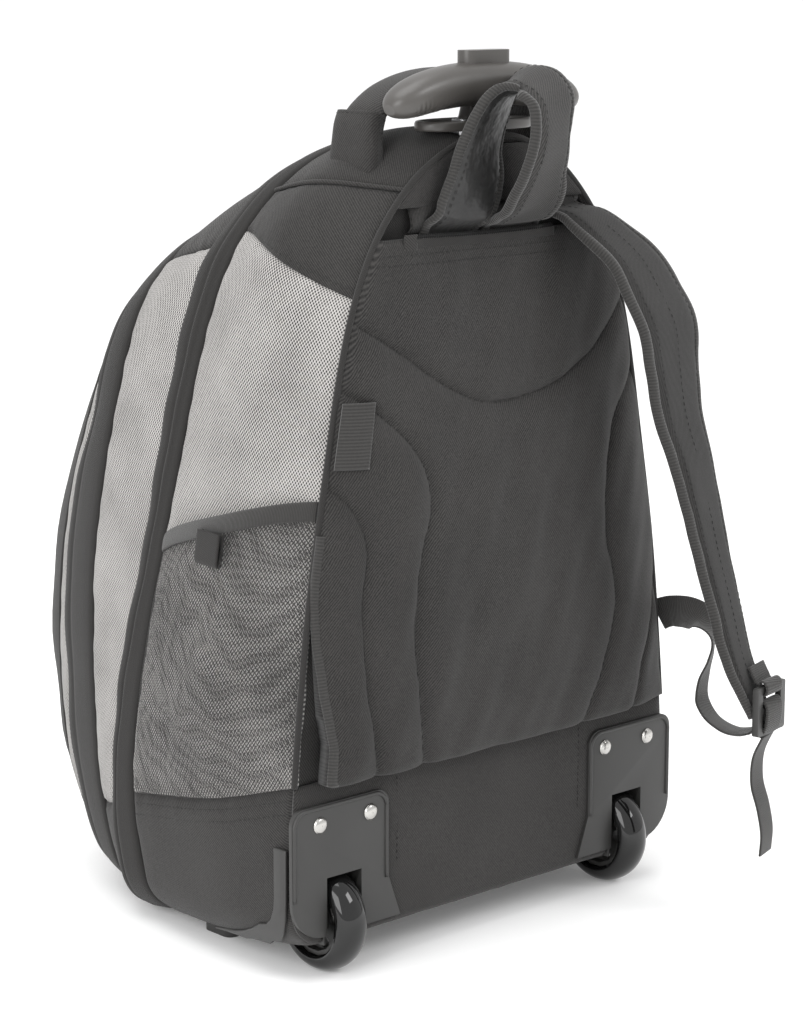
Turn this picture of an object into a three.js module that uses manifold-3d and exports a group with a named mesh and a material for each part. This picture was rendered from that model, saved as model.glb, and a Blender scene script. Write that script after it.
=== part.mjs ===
// A wheeled backpack: a hollow cloth bag on two wheels with a two-stage trolley handle,
// a padded back flap over a strap pocket, two shoulder straps and two net bottle pockets.
// Millimetres. +Z is up, the back panel faces +Y, the left side is +X.
// While it is built, y = 0 is the wheel axle and z = 0 the ground.
import * as THREE from 'three';
import Module from 'manifold-3d';
import { mergeVertices } from 'three/addons/utils/BufferGeometryUtils.js';

const wasm = await Module();
wasm.setup();

// Bag sizes
const bagHeight = 480;
const bagWidth = 316;
const bagDepth = 306;
const backSeamY = 14.6;
const clothWall = 2;
const seamGap = 0.3;

// Heights of the lines where the dark base and the dark yoke meet the grey sides
const baseLineRear = 119;
const baseLineMiddle = 82;
const baseLineFront = 55;
const yokeLineRear = 392;
const yokeLineMiddle = 424;
const yokeLineFront = 383;

// Back panel sizes
const boardThickness = 1.5;
const boardY = 8.1;
const boardBottomZ = 71;
const boardTopZ = 446;
const flapEdge = 4;
const flapPadding = 12;
const flapCrown = 22;
const flapTopZ = 424;
const grooveDepth = 3;
const grooveWidth = 9;
const flapRows = 16;
const flapHalfColumns = 7;
const hemBottomZ = 441;
const hemTopZ = 474;
const panelThickness = 1.6;

// Wheel sizes
const wheelDiameter = 64;
const wheelWidth = 22;
const wheelSpacing = 237.2;
const tyreThickness = 9.5;
const hubWidth = 15;
const hubBossWall = 5.5;
const hubRimWall = 3;
const axleDiameter = 8;
const runningGap = 0.5;
const spokeHoles = 5;
const spokeHoleDiameter = 8;
const tyreSegments = 24;
const hubSegments = 15;

// Wheel housing sizes
const housingWall = 1.8;
const housingDepth = 36;
const housingTopZ = 68.3;
const housingBottomZ = 22;
const plateThickness = 2.5;
const plateWidth = 74;
const plateShift = 2.4;
const plateTopZ = 107;
const plateBottomZ = 27.6;
const plateCorner = 9;
const plateLowerCorner = 25;
const slotWidth = 26.4;
const slotTopZ = 62.5;
const rivetDiameter = 10;
const rivetHeight = 2.2;
const rivetSpacing = 38.5;
const rivetZ = 95.2;
const rivetShift = 1;

// Corner guard sizes
const guardWidth = 11;
const guardThickness = 2.4;
const guardTopZ = 83;
const footLength = 26;
const footWidth = 12;
const footHeight = 5.8;
const guardClearance = 1.4;

// Trolley sizes
const sleeveWidth = 31;
const sleeveDepth = 15.5;
const tubeWall = 1.2;
const tubeGap = 0.4;
const sleeveBottomZ = 72;
const trolleyPlateLength = 90;
const trolleyPlateDepth = 36;
const trolleyPlateThickness = 6;
const gripLength = 146;
const gripHeight = 25;
const gripEndHeight = 21;
const gripDepth = 28;
const gripClearance = 4;
const gripDroop = 13;
const gripLean = 8;
const gripSocketDepth = 12;
const buttonLength = 36;
const buttonDepth = 13;
const buttonRise = 6.5;
const buttonRecess = 6;
const buttonTravel = 3;

// Grab handle sizes
const trolleyY = 0;
const handleSpan = 120;
const handleTopZ = 516;
const handleRise = 52;
const handleWidth = 32;
const handleThickness = 9;
const handleY = -27;
const handleSides = 8;
const handleSleeveWall = 2;
const handleSleeveTopZ = 490;
const handleSleeveHeight = 34;

// Bottle pocket sizes
const pocketTopRear = 270;
const pocketTopFront = 232;
const pocketBandHeight = 11;
const pocketBandThickness = 2;
const pocketBulge = 12;
const pocketMouth = 8;
const netThickness = 1;
const pocketLoopWidth = 20;
const pocketLoopHeight = 22;

// Shoulder strap sizes
const strapWidth = 66;
const strapThickness = 9;
const strapReach = 112;
const strapDrop = 308;
const loopHeight = 80;
const loopReach = 68;
const webbingWidth = 22;
const webbingThickness = 1.6;
const tailLength = 76;
const buckleWidth = 34;
const buckleLength = 30;
const buckleThickness = 4;

// Bare tab in the side seam
const labelHeight = 37;
const labelWidth = 18;
const labelThickness = 1;
const labelTopZ = 336;

// Colours
const darkCloth = { color: 0x3c3a38, roughness: 0.85, metalness: 0 };
const greyMesh = { color: 0xb9b6ae, roughness: 0.9, metalness: 0 };
const darkTape = { color: 0x2a2928, roughness: 0.8, metalness: 0 };
const netCloth = { color: 0x6f6d69, roughness: 0.8, metalness: 0 };
const mouldedBlack = { color: 0x242424, roughness: 0.5, metalness: 0 };
const glossyBlack = { color: 0x141414, roughness: 0.15, metalness: 0 };
const steel = { color: 0xb5b5b5, roughness: 0.3, metalness: 1 };

const halfWidth = bagWidth / 2;
const bag = new THREE.Group();

function addMesh(name, geometry, look, parent = bag) {
  const mesh = new THREE.Mesh(geometry, new THREE.MeshStandardMaterial(look));
  mesh.name = name;
  parent.add(mesh);
  return mesh;
}

// Smooth value at t through the points (knots, values).
function smooth(knots, values, t) {
  const last = knots.length - 1;
  let i = 0;
  while (i < last - 1 && t > knots[i + 1]) i += 1;
  const slope = (k) => {
    const a = Math.max(k - 1, 0);
    const b = Math.min(k + 1, last);
    return (values[b] - values[a]) / (knots[b] - knots[a]);
  };
  const span = knots[i + 1] - knots[i];
  const s = (t - knots[i]) / span;
  const s2 = s * s;
  const s3 = s2 * s;
  return (2 * s3 - 3 * s2 + 1) * values[i] + (s3 - 2 * s2 + s) * span * slope(i)
    + (3 * s2 - 2 * s3) * values[i + 1] + (s3 - s2) * span * slope(i + 1);
}

// Half outline of the bag from its crown to the middle of its base.
// Height is a share of a section's own height, widths are shares of its half width.
const outlineRows = [
  // height, width at the back, width at the front
  [1, 0, 0],
  [0.997, 0.13, 0.26],
  [0.978, 0.27, 0.5],
  [0.945, 0.415, 0.67],
  [0.889, 0.56, 0.81],
  [0.82, 0.665, 0.875],
  [0.73, 0.745, 0.91],
  [0.6, 0.82, 0.945],
  [0.45, 0.9, 0.972],
  [0.3, 0.955, 0.99],
  [0.17, 0.99, 1],
  [0.075, 1, 0.985],
  [0.034, 0.985, 0.95],
  [0.011, 0.935, 0.87],
  [0, 0.84, 0.74],
  [0, 0.42, 0.37],
  [0, 0, 0],
];
const outlineEnd = outlineRows.length - 1;
const outlineKnots = outlineRows.map((row, i) => i);
const outlineColumn = (c) => outlineRows.map((row) => row[c]);
const heightColumn = outlineColumn(0);
const backColumn = outlineColumn(1);
const frontColumn = outlineColumn(2);

// Sections from the back seam to the front panel. The first five columns are how far the
// section lies from the back seam, as shares of bagDepth, at five heights of the section.
const sectionRows = [
  // foot, low, middle, high, crown, half width, base, top, squareness
  [0, 0, 0, 0, 0, 0.98, 0.046, 0.996, 0],
  [0.195, 0.218, 0.205, 0.185, 0.146, 1, 0.025, 1.004, 0.5],
  [0.456, 0.499, 0.43, 0.352, 0.276, 0.965, 0.012, 0.988, 0.5],
  [0.531, 0.558, 0.486, 0.407, 0.335, 0.956, 0.009, 0.972, 0.6],
  [0.597, 0.662, 0.688, 0.629, 0.564, 0.892, 0.012, 0.892, 0.85],
  [0.688, 0.773, 0.796, 0.708, 0.62, 0.835, 0.021, 0.862, 1],
  [0.754, 0.855, 0.871, 0.773, 0.662, 0.766, 0.038, 0.829, 1],
  [0.825, 0.93, 0.95, 0.842, 0.718, 0.684, 0.065, 0.788, 1],
  [0.891, 0.986, 0.9985, 0.91, 0.806, 0.544, 0.13, 0.708, 1],
];
const depthHeights = [0, 0.2, 0.5, 0.8, 1];
const sectionKnots = sectionRows.map((row, i) => i);
const sectionEnd = sectionRows.length - 1;
const backSeam = 0;
const rearZipStart = 2;
const rearZipEnd = 3;
const frontZipStart = 4;
const frontZipEnd = 5;
const frontPanelStart = 6;

// A point of one section: u runs round the outline, 0 at the crown, outlineEnd at the base,
// negative on the right side.
function sectionPoint(row, place) {
  const [foot, low, middle, high, crown, width, base, top, square] = row;
  const u = place > outlineEnd ? place - 2 * outlineEnd : place;
  const a = Math.abs(u);
  const h = smooth(outlineKnots, heightColumn, a);
  const w = smooth(outlineKnots, backColumn, a) * (1 - square)
    + smooth(outlineKnots, frontColumn, a) * square;
  const depth = smooth(depthHeights, [foot, low, middle, high, crown], Math.max(0, Math.min(1, h)));
  return new THREE.Vector3(
    Math.sign(u) * w * width * halfWidth,
    backSeamY - depth * bagDepth,
    (base + (top - base) * h) * bagHeight,
  );
}

function surfacePoint(u, v) {
  const points = sectionRows.map((row) => sectionPoint(row, u));
  const axis = (key) => smooth(sectionKnots, points.map((p) => p[key]), v);
  return new THREE.Vector3(axis('x'), axis('y'), axis('z'));
}

function surfaceNormal(u, v) {
  const step = 0.02;
  const v0 = Math.max(0, v - step);
  const v1 = Math.min(sectionEnd, v + step);
  const along = surfacePoint(u + step, v).sub(surfacePoint(u - step, v));
  const across = surfacePoint(u, v1).sub(surfacePoint(u, v0));
  return across.cross(along).normalize();
}

// The outline place on the left side that lies at height z.
function placeAtHeight(v, z) {
  let low = 0;
  let high = outlineEnd - 2;
  for (let i = 0; i < 24; i += 1) {
    const middle = (low + high) / 2;
    if (surfacePoint(middle, v).z > z) low = middle;
    else high = middle;
  }
  return (low + high) / 2;
}

// Lines that part the dark cloth from the grey sides. They end at the front panel.
const lineSections = [backSeam, rearZipStart, frontZipEnd];
function lineAt(section, heights) {
  const v = Math.min(section, frontPanelStart);
  return placeAtHeight(v, smooth(lineSections, heights, v));
}
const baseLine = (v) => lineAt(v, [baseLineRear, baseLineMiddle, baseLineFront]);
const yokeLine = (v) => lineAt(v, [yokeLineRear, yokeLineMiddle, yokeLineFront]);

// Columns of the skin on one half: crown, top seam, yoke line, base line, middle of the base.
// All pieces share them, so that neighbours meet along the same edges.
const crownColumn = 0;
const seamColumn = 4;
const yokeColumn = 7;
const baseColumn = 14;
const lastColumn = 22;
const topSeamPlace = 3.1;
function columnPlace(k, v) {
  if (k < 0) return -columnPlace(-k, v);
  if (k > lastColumn) return 2 * outlineEnd - columnPlace(2 * lastColumn - k, v);
  const stops = [0, topSeamPlace, yokeLine(v), baseLine(v), outlineEnd];
  const columns = [crownColumn, seamColumn, yokeColumn, baseColumn, lastColumn];
  const zone = Math.max(0, columns.findIndex((c) => k <= c) - 1);
  const share = (k - columns[zone]) / (columns[zone + 1] - columns[zone]);
  return stops[zone] + (stops[zone + 1] - stops[zone]) * share;
}

// A closed body from two grids of points, the outer and the inner skin. A wrapped grid
// closes on itself round its columns.
function shellBody(outer, inner, wrapped) {
  const rows = outer.length;
  const columns = outer[0].length;
  const points = [...outer.flat(), ...inner.flat()];
  const half = rows * columns;
  const at = (side, r, c) => side * half + r * columns + (c % columns);
  const faces = [];
  const quad = (a, b, c, d) => faces.push(a, b, c, a, c, d);
  const lastColumn = wrapped ? columns : columns - 1;
  for (let r = 0; r < rows - 1; r += 1) {
    for (let c = 0; c < lastColumn; c += 1) {
      quad(at(0, r, c), at(0, r, c + 1), at(0, r + 1, c + 1), at(0, r + 1, c));
      quad(at(1, r, c), at(1, r + 1, c), at(1, r + 1, c + 1), at(1, r, c + 1));
    }
  }
  for (let c = 0; c < lastColumn; c += 1) {
    quad(at(0, 0, c), at(1, 0, c), at(1, 0, c + 1), at(0, 0, c + 1));
    quad(at(0, rows - 1, c), at(0, rows - 1, c + 1), at(1, rows - 1, c + 1), at(1, rows - 1, c));
  }
  if (!wrapped) {
    for (let r = 0; r < rows - 1; r += 1) {
      quad(at(0, r, 0), at(0, r + 1, 0), at(1, r + 1, 0), at(1, r, 0));
      const c = columns - 1;
      quad(at(0, r, c), at(1, r, c), at(1, r + 1, c), at(0, r + 1, c));
    }
  }
  return geometryFrom(points, faces);
}

// Geometry from points and faces, turned so that its faces point out.
function geometryFrom(points, faces) {
  let volume = 0;
  for (let i = 0; i < faces.length; i += 3) {
    const [a, b, c] = [points[faces[i]], points[faces[i + 1]], points[faces[i + 2]]];
    volume += a.dot(b.clone().cross(c));
  }
  const geometry = new THREE.BufferGeometry();
  const flat = points.flatMap((p) => [p.x, p.y, p.z]);
  geometry.setAttribute('position', new THREE.Float32BufferAttribute(flat, 3));
  geometry.setIndex(volume < 0 ? faces.slice().reverse() : faces);
  return geometry;
}

// Moves the border of a grid inwards, so that two pieces sewn together keep a gap.
function pulledIn(grid, wrapped) {
  const copy = grid.map((row) => row.map((p) => p.clone()));
  const shift = (p, q) => p.clone().add(q.clone().sub(p).setLength(seamGap / 2));
  const last = grid.length - 1;
  copy[0] = grid[0].map((p, c) => shift(p, grid[1][c]));
  copy[last] = grid[last].map((p, c) => shift(p, grid[last - 1][c]));
  if (!wrapped) {
    const end = grid[0].length - 1;
    copy.forEach((row, r) => {
      row[0] = shift(row[0], copy[r][1]);
      row[end] = shift(row[end], copy[r][end - 1]);
    });
  }
  return copy;
}

// A grid of skin points and normals between two sections. place gives the outline place of
// a column at a section.
function skinGrid(start, end, rows, columns, place) {
  const skin = [];
  const normals = [];
  for (let r = 0; r <= rows; r += 1) {
    const v = start + (end - start) * r / rows;
    const places = columns.map((c) => place(c, v));
    skin.push(places.map((u) => surfacePoint(u, v)));
    normals.push(places.map((u) => surfaceNormal(u, v)));
  }
  return { skin, normals };
}

// A cloth piece on that grid. lift gives how far it stands off the skin.
function clothOnGrid({ skin, normals }, wrapped, thickness, lift) {
  const border = pulledIn(skin, wrapped);
  const lastRow = skin.length - 1;
  const lastPlace = skin[0].length - 1;
  const offset = (extra) => border.map((row, r) => row.map((p, c) => (
    p.clone().addScaledVector(normals[r][c], lift(r / lastRow, c / lastPlace) + extra))));
  return shellBody(offset(0), offset(-thickness), wrapped);
}

const range = (from, to) => Array.from({ length: to - from + 1 }, (_, i) => from + i);
const noLift = () => 0;

function skinPiece(from, to, { start, end, rows }) {
  const grid = skinGrid(start, end, rows, range(from, to), columnPlace);
  return clothOnGrid(grid, false, clothWall, noLift);
}

function skinRing({ start, end, rows }) {
  const grid = skinGrid(start, end, rows, range(-lastColumn, lastColumn - 1), columnPlace);
  return clothOnGrid(grid, true, clothWall, noLift);
}

function bothSides(name, from, to, span, look) {
  addMesh(`${name}_left`, skinPiece(from, to, span), look);
  addMesh(`${name}_right`, skinPiece(-to, -from, span), look);
}

function toSolid(geometry) {
  const bare = new THREE.BufferGeometry();
  bare.setAttribute('position', geometry.getAttribute('position').clone());
  if (geometry.index) bare.setIndex(geometry.index.clone());
  const merged = mergeVertices(bare, 1e-3);
  const mesh = new wasm.Mesh({
    numProp: 3,
    vertProperties: new Float32Array(merged.getAttribute('position').array),
    triVerts: new Uint32Array(merged.index.array),
  });
  return new wasm.Manifold(mesh);
}

function fromSolid(solid) {
  const mesh = solid.getMesh();
  const geometry = new THREE.BufferGeometry();
  geometry.setAttribute('position', new THREE.Float32BufferAttribute(mesh.vertProperties, 3));
  geometry.setIndex(Array.from(mesh.triVerts));
  return geometry;
}

// A box given by its two corners.
function boxBetween(x0, x1, y0, y1, z0, z1) {
  const box = new THREE.BoxGeometry(x1 - x0, y1 - y0, z1 - z0);
  return box.translate((x0 + x1) / 2, (y0 + y1) / 2, (z0 + z1) / 2);
}

// A flat plate: an outline in x and z, from depth y0 to y1.
function plateBetween(shape, y0, y1) {
  const settings = { depth: y1 - y0, bevelEnabled: false, curveSegments: 6 };
  const plate = new THREE.ExtrudeGeometry(shape, settings);
  return plate.rotateX(Math.PI / 2).translate(0, y1, 0);
}

// A rectangle with round ends or corners, centred on the origin.
function roundedShape(width, height, radius) {
  const x = width / 2;
  const y = height / 2;
  const shape = new THREE.Shape();
  shape.moveTo(-x + radius, -y);
  shape.lineTo(x - radius, -y);
  shape.absarc(x - radius, -y + radius, radius, -Math.PI / 2, 0);
  shape.lineTo(x, y - radius);
  shape.absarc(x - radius, y - radius, radius, 0, Math.PI / 2);
  shape.lineTo(-x + radius, y);
  shape.absarc(-x + radius, y - radius, radius, Math.PI / 2, Math.PI);
  shape.lineTo(-x, -y + radius);
  shape.absarc(-x + radius, -y + radius, radius, Math.PI, 1.5 * Math.PI);
  return shape;
}

// An upright prism of a shape in x and y.
function prism(shape, z0, z1) {
  const settings = { depth: z1 - z0, bevelEnabled: false, curveSegments: 3 };
  const body = new THREE.ExtrudeGeometry(shape, settings);
  return body.translate(0, 0, z0);
}

// Straps are made of stations: middle, direction of the width, width and thickness share.
// Their section is thin at both edges and full between them.
const strapProfile = [[0, 0.3], [0.17, 1], [0.83, 1], [1, 0.3]];
const webbingProfile = [[0, 1], [1, 1]];
function strapBody(stations, thickness, profile) {
  const outer = [];
  const inner = [];
  stations.forEach((station, i) => {
    const before = stations[Math.max(i - 1, 0)].middle;
    const after = stations[Math.min(i + 1, stations.length - 1)].middle;
    const along = after.clone().sub(before).normalize();
    const wide = station.wide.clone().addScaledVector(along, -station.wide.dot(along)).normalize();
    const face = wide.clone().cross(along).normalize();
    const at = (share, side, bulk) => station.middle.clone()
      .addScaledVector(wide, (share - 0.5) * station.width)
      .addScaledVector(face, side * bulk * thickness * station.bulk / 2);
    outer.push(profile.map(([share, bulk]) => at(share, 1, bulk)));
    inner.push(profile.map(([share, bulk]) => at(share, -1, bulk)));
  });
  return shellBody(outer, inner, false);
}

// A swept body of oval section. Rows: middle, half size across y, half size across the path.
function ovalBody(rows, sides) {
  const rings = rows.map((row, i) => {
    const before = rows[Math.max(i - 1, 0)].middle;
    const after = rows[Math.min(i + 1, rows.length - 1)].middle;
    const along = after.clone().sub(before).normalize();
    const across = new THREE.Vector3(0, 1, 0);
    const up = along.clone().cross(across).normalize();
    return range(0, sides - 1).map((k) => {
      const turn = 2 * Math.PI * k / sides;
      return row.middle.clone()
        .addScaledVector(across, Math.cos(turn) * row.across)
        .addScaledVector(up, Math.sin(turn) * row.up);
    });
  });
  const points = rings.flat();
  const faces = [];
  for (let r = 0; r < rings.length - 1; r += 1) {
    for (let k = 0; k < sides; k += 1) {
      const [a, b] = [r * sides + k, r * sides + (k + 1) % sides];
      faces.push(a, b, b + sides, a, b + sides, a + sides);
    }
  }
  const top = (rings.length - 1) * sides;
  for (let k = 1; k < sides - 1; k += 1) {
    faces.push(0, k + 1, k);
    faces.push(top, top + k, top + k + 1);
  }
  return geometryFrom(points, faces);
}

function addBagShell() {
  addMesh('zip_band_rear', skinRing({ start: rearZipStart, end: rearZipEnd, rows: 1 }), darkTape);
  addMesh('zip_band_front', skinRing({ start: frontZipStart, end: frontZipEnd, rows: 1 }), darkTape);
  const main = { start: backSeam, end: rearZipStart, rows: 4 };
  const middle = { start: rearZipEnd, end: frontZipStart, rows: 2 };
  const front = { start: frontZipEnd, end: frontPanelStart, rows: 1 };
  const baseEnd = 2 * lastColumn - baseColumn;
  addMesh('top_panel', topPanel(main), darkCloth);
  bothSides('yoke', seamColumn, yokeColumn, main, darkCloth);
  bothSides('side_panel', yokeColumn, baseColumn, main, greyMesh);
  addMesh('base_shell', baseShell(main, baseEnd), darkCloth);
  addMesh('middle_top', skinPiece(-yokeColumn, yokeColumn, middle), darkCloth);
  bothSides('middle_side', yokeColumn, baseColumn, middle, greyMesh);
  addMesh('middle_base', skinPiece(baseColumn, baseEnd, middle), darkCloth);
  addMesh('front_top', skinPiece(-yokeColumn, yokeColumn, front), darkCloth);
  bothSides('front_side', yokeColumn, baseColumn, front, greyMesh);
  addMesh('front_base', skinPiece(baseColumn, baseEnd, front), darkCloth);
  addMesh('front_panel', frontPanel(), darkCloth);
}

// The top panel has a hole for the trolley's outer tube.
function topPanel(span) {
  const hole = prism(
    roundedShape(sleeveWidth + 2 * clothWall, sleeveDepth + 2 * clothWall, clothWall),
    bagHeight / 2,
    bagHeight * 1.1,
  );
  return fromSolid(toSolid(skinPiece(-seamColumn, seamColumn, span)).subtract(toSolid(hole)));
}

// The base is cut out round both wheel housings.
function baseShell(span, baseEnd) {
  let solid = toSolid(skinPiece(baseColumn, baseEnd, span));
  for (const side of [-1, 1]) solid = solid.subtract(toSolid(housingSpace(side)));
  return fromSolid(solid);
}

// The room that a wheel housing takes up in the base.
function housingSpace(side) {
  const room = slotWidth / 2 + housingWall + seamGap;
  const x = side * wheelSpacing / 2;
  return boxBetween(
    x - room, x + room, -housingDepth - seamGap, backSeamY + bagDepth / 10, -1, housingTopZ + seamGap);
}

// The front panel: two sections of the skin, then rings that close over its middle.
function frontPanel() {
  const columns = range(-lastColumn, lastColumn - 1);
  const grid = skinGrid(frontPanelStart, sectionEnd, 2, columns, columnPlace);
  const outer = pulledIn(grid.skin, true);
  outer[2] = grid.skin[2];
  const rim = outer[2];
  const centre = rim.reduce((sum, p) => sum.add(p), new THREE.Vector3()).divideScalar(rim.length);
  centre.y = Math.min(...rim.map((p) => p.y)) - clothWall;
  const forward = new THREE.Vector3(0, -1, 0);
  const normals = grid.normals.slice();
  const share = 0.5;
  outer.push(rim.map((p) => {
    const q = centre.clone().lerp(p, share);
    q.y = centre.y + (p.y - centre.y) * share * share;
    return q;
  }));
  normals.push(grid.normals[2].map((n) => forward.clone().lerp(n, share * share).normalize()));
  const inner = outer.map((row, r) => row.map((p, c) => (
    p.clone().addScaledVector(normals[r][c], -clothWall))));
  return cappedBody(outer, inner, centre, centre.clone().addScaledVector(forward, -clothWall));
}

// A bowl-like body from two stacks of rings, closed over the last ring by a fan.
function cappedBody(outer, inner, outerCentre, innerCentre) {
  const columns = outer[0].length;
  const rows = outer.length;
  const points = [...outer.flat(), ...inner.flat(), outerCentre, innerCentre];
  const half = rows * columns;
  const faces = [];
  for (let c = 0; c < columns; c += 1) {
    const d = (c + 1) % columns;
    for (let r = 0; r < rows - 1; r += 1) {
      const [a, b] = [r * columns + c, r * columns + d];
      const [e, f] = [half + a, half + b];
      faces.push(a, b, b + columns, a, b + columns, a + columns);
      faces.push(e, f + columns, f, e, e + columns, f + columns);
    }
    const end = (rows - 1) * columns;
    faces.push(end + c, end + d, 2 * half);
    faces.push(half + end + c, 2 * half + 1, half + end + d);
    faces.push(c, half + c, half + d, c, half + d, d);
  }
  return geometryFrom(points, faces);
}

// Half width of the back at height z.
const backHalfWidth = (z) => surfacePoint(placeAtHeight(backSeam, z), backSeam).x;

// The padded back flap stands proud of its edges. Rows: height as a share of the flap's
// own height, share of the crown.
const flapBottomZ = baseLineRear + seamGap;
const flapCrownRows = [
  [0, 0.68],
  [0.12, 0.95],
  [0.3, 1],
  [0.5, 0.92],
  [0.66, 0.72],
  [0.8, 0.42],
  [0.92, 0.14],
  [1, 0],
];
const flapCrownKnots = flapCrownRows.map((row) => row[0]);
const flapCrownShares = flapCrownRows.map((row) => row[1]);

// Stitched grooves of the flap. Rows: share of the half width of the back, share of the
// flap's height.
const yokeGroove = [
  [-0.97, 0.84],
  [-0.6, 0.74],
  [-0.3, 0.69],
  [0, 0.67],
  [0.3, 0.69],
  [0.6, 0.74],
  [0.97, 0.84],
];
const innerGroove = [
  [0.96, 0.73],
  [0.72, 0.64],
  [0.57, 0.52],
  [0.56, 0.42],
  [0.61, 0.31],
  [0.6, 0.18],
  [0.54, 0],
];
const outerGroove = [
  [0.98, 0.56],
  [0.86, 0.5],
  [0.8, 0.4],
  [0.82, 0.3],
  [0.82, 0.17],
  [0.78, 0],
];
const mirroredGroove = (groove) => groove.map(([x, z]) => [-x, z]);
const sideGrooves = [innerGroove, outerGroove];
const grooves = [yokeGroove, ...sideGrooves, ...sideGrooves.map(mirroredGroove)];

function grooveAt(x, z) {
  const flapHeight = flapTopZ - flapBottomZ;
  const here = new THREE.Vector2(x, z);
  let nearest = Infinity;
  for (const groove of grooves) {
    const points = groove.map(([side, up]) => {
      const height = flapBottomZ + up * flapHeight;
      return new THREE.Vector2(side * backHalfWidth(height), height);
    });
    for (let i = 0; i < points.length - 1; i += 1) {
      const span = points[i + 1].clone().sub(points[i]);
      const t = Math.max(0, Math.min(1, here.clone().sub(points[i]).dot(span) / span.lengthSq()));
      nearest = Math.min(nearest, here.distanceTo(points[i].clone().addScaledVector(span, t)));
    }
  }
  return grooveDepth * Math.exp(-((nearest / grooveWidth) ** 2));
}

// How far the flap's face stands in front of its edge at side share s and height z.
function flapRise(s, z) {
  const up = (z - flapBottomZ) / (flapTopZ - flapBottomZ);
  const crown = flapCrown * smooth(flapCrownKnots, flapCrownShares, up);
  return crown * (1 - Math.abs(s) ** 5);
}

function backFlap() {
  const rows = range(0, flapRows);
  const columns = range(-flapHalfColumns, flapHalfColumns);
  const innerY = backSeamY + seamGap;
  const faceY = innerY + flapEdge;
  const height = flapTopZ - flapBottomZ;
  const skin = (y) => rows.map((r) => {
    const z = flapBottomZ + height * r / (rows.length - 1);
    const half = backHalfWidth(z);
    return columns.map((c) => {
      const s = Math.sin(c / flapHalfColumns * Math.PI / 2);
      return new THREE.Vector3(s * half, y(s, z, s * half), z);
    });
  });
  const face = (s, z, x) => {
    const rise = flapRise(s, z);
    return faceY + rise - grooveAt(x, z) * Math.min(1, rise / grooveDepth);
  };
  const back = (s, z) => innerY + Math.max(0, flapRise(s, z) - (flapPadding - flapEdge));
  return shellBody(skin(face), skin(back), false);
}

// The outline of the back between two heights, as a shape in x and z.
function backShape(bottomZ, topZ, inset) {
  const places = range(0, 2 * outlineEnd).map((i) => i / 2);
  const side = places.map((u) => surfacePoint(u, backSeam))
    .map((p) => [Math.max(0, p.x - inset), p.z])
    .filter(([, z]) => z < topZ - 1 && z > bottomZ + 1);
  const edge = (z) => backHalfWidth(z) - inset;
  const half = [[edge(topZ), topZ], ...side, [edge(bottomZ), bottomZ]];
  const points = [...half, ...half.slice().reverse().map(([x, z]) => [-x, z])];
  return new THREE.Shape(points.map(([x, z]) => new THREE.Vector2(x, z)));
}

// The board, the hem above the strap opening and the low panel of the back.
function addBackPanels() {
  const board = backShape(boardBottomZ, boardTopZ, 2.5 * clothWall);
  addMesh('rear_wall', plateBetween(board, boardY, boardY + boardThickness), darkCloth);
  const panelY = backSeamY + seamGap;
  const hem = backShape(hemBottomZ, hemTopZ, 0);
  addMesh('back_hem', plateBetween(hem, panelY, panelY + panelThickness), darkCloth);
  const low = backShape(housingBottomZ + seamGap, baseLineRear, 0);
  let panel = toSolid(plateBetween(low, panelY, panelY + panelThickness));
  for (const side of [-1, 1]) panel = panel.subtract(toSolid(housingSpace(side)));
  addMesh('back_base_panel', fromSolid(panel), darkCloth);
  addMesh('back_flap', backFlap(), darkCloth);
}

// The wheel housing: a plate on the back with a slot, and a well behind it.
function housingBody(side) {
  const x = side * wheelSpacing / 2;
  const slotHalf = slotWidth / 2;
  const plateY = backSeamY + 2 * seamGap + panelThickness;
  const half = plateWidth / 2;
  const shape = new THREE.Shape();
  const highCentre = plateTopZ - plateCorner;
  const lowCentre = plateBottomZ + plateLowerCorner;
  shape.moveTo(-half, highCentre);
  shape.absarc(-half + plateCorner, highCentre, plateCorner, Math.PI, Math.PI / 2, true);
  shape.absarc(half - plateCorner, highCentre, plateCorner, Math.PI / 2, 0, true);
  shape.absarc(half - plateLowerCorner, lowCentre, plateLowerCorner, 0, -Math.PI / 2, true);
  shape.lineTo(-half - plateCorner, plateBottomZ);
  shape.lineTo(-half, plateBottomZ + plateLowerCorner);
  const plate = plateBetween(shape, plateY, plateY + plateThickness).scale(side, 1, 1);
  if (side < 0) flipFaces(plate);
  const solids = [
    plate.translate(x + side * plateShift, 0, 0),
    boxBetween(x - slotHalf - housingWall, x + slotHalf + housingWall,
      -housingDepth, plateY + plateThickness / 2, housingBottomZ, housingTopZ),
  ];
  const wellTopZ = housingTopZ - housingWall;
  const cuts = [
    boxBetween(x - slotHalf, x + slotHalf, housingWall - housingDepth, plateY, -1, wellTopZ),
    boxBetween(x - slotHalf, x + slotHalf, 0, plateY + 2 * plateThickness, -1, slotTopZ),
    axleCylinder(axleDiameter + 2 * seamGap, wheelWidth * 2).translate(x, 0, wheelDiameter / 2),
  ];
  let solid = toSolid(solids[0]).add(toSolid(solids[1]));
  for (const cut of cuts) solid = solid.subtract(toSolid(cut));
  return fromSolid(solid);
}

// Turns the faces of a mirrored geometry out again.
function flipFaces(geometry) {
  const position = geometry.getAttribute('position');
  if (!geometry.index) geometry.setIndex(range(0, position.count - 1));
  geometry.setIndex(Array.from(geometry.index.array).reverse());
}

function axleCylinder(diameter, length) {
  return new THREE.CylinderGeometry(diameter / 2, diameter / 2, length, 10).rotateZ(Math.PI / 2);
}

// Turned round the wheel's axle from a profile of radius and place along the axle.
function turned(profile, segments) {
  const points = profile.map(([radius, along]) => new THREE.Vector2(radius, along));
  return new THREE.LatheGeometry(points, segments).rotateZ(Math.PI / 2);
}

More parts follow.
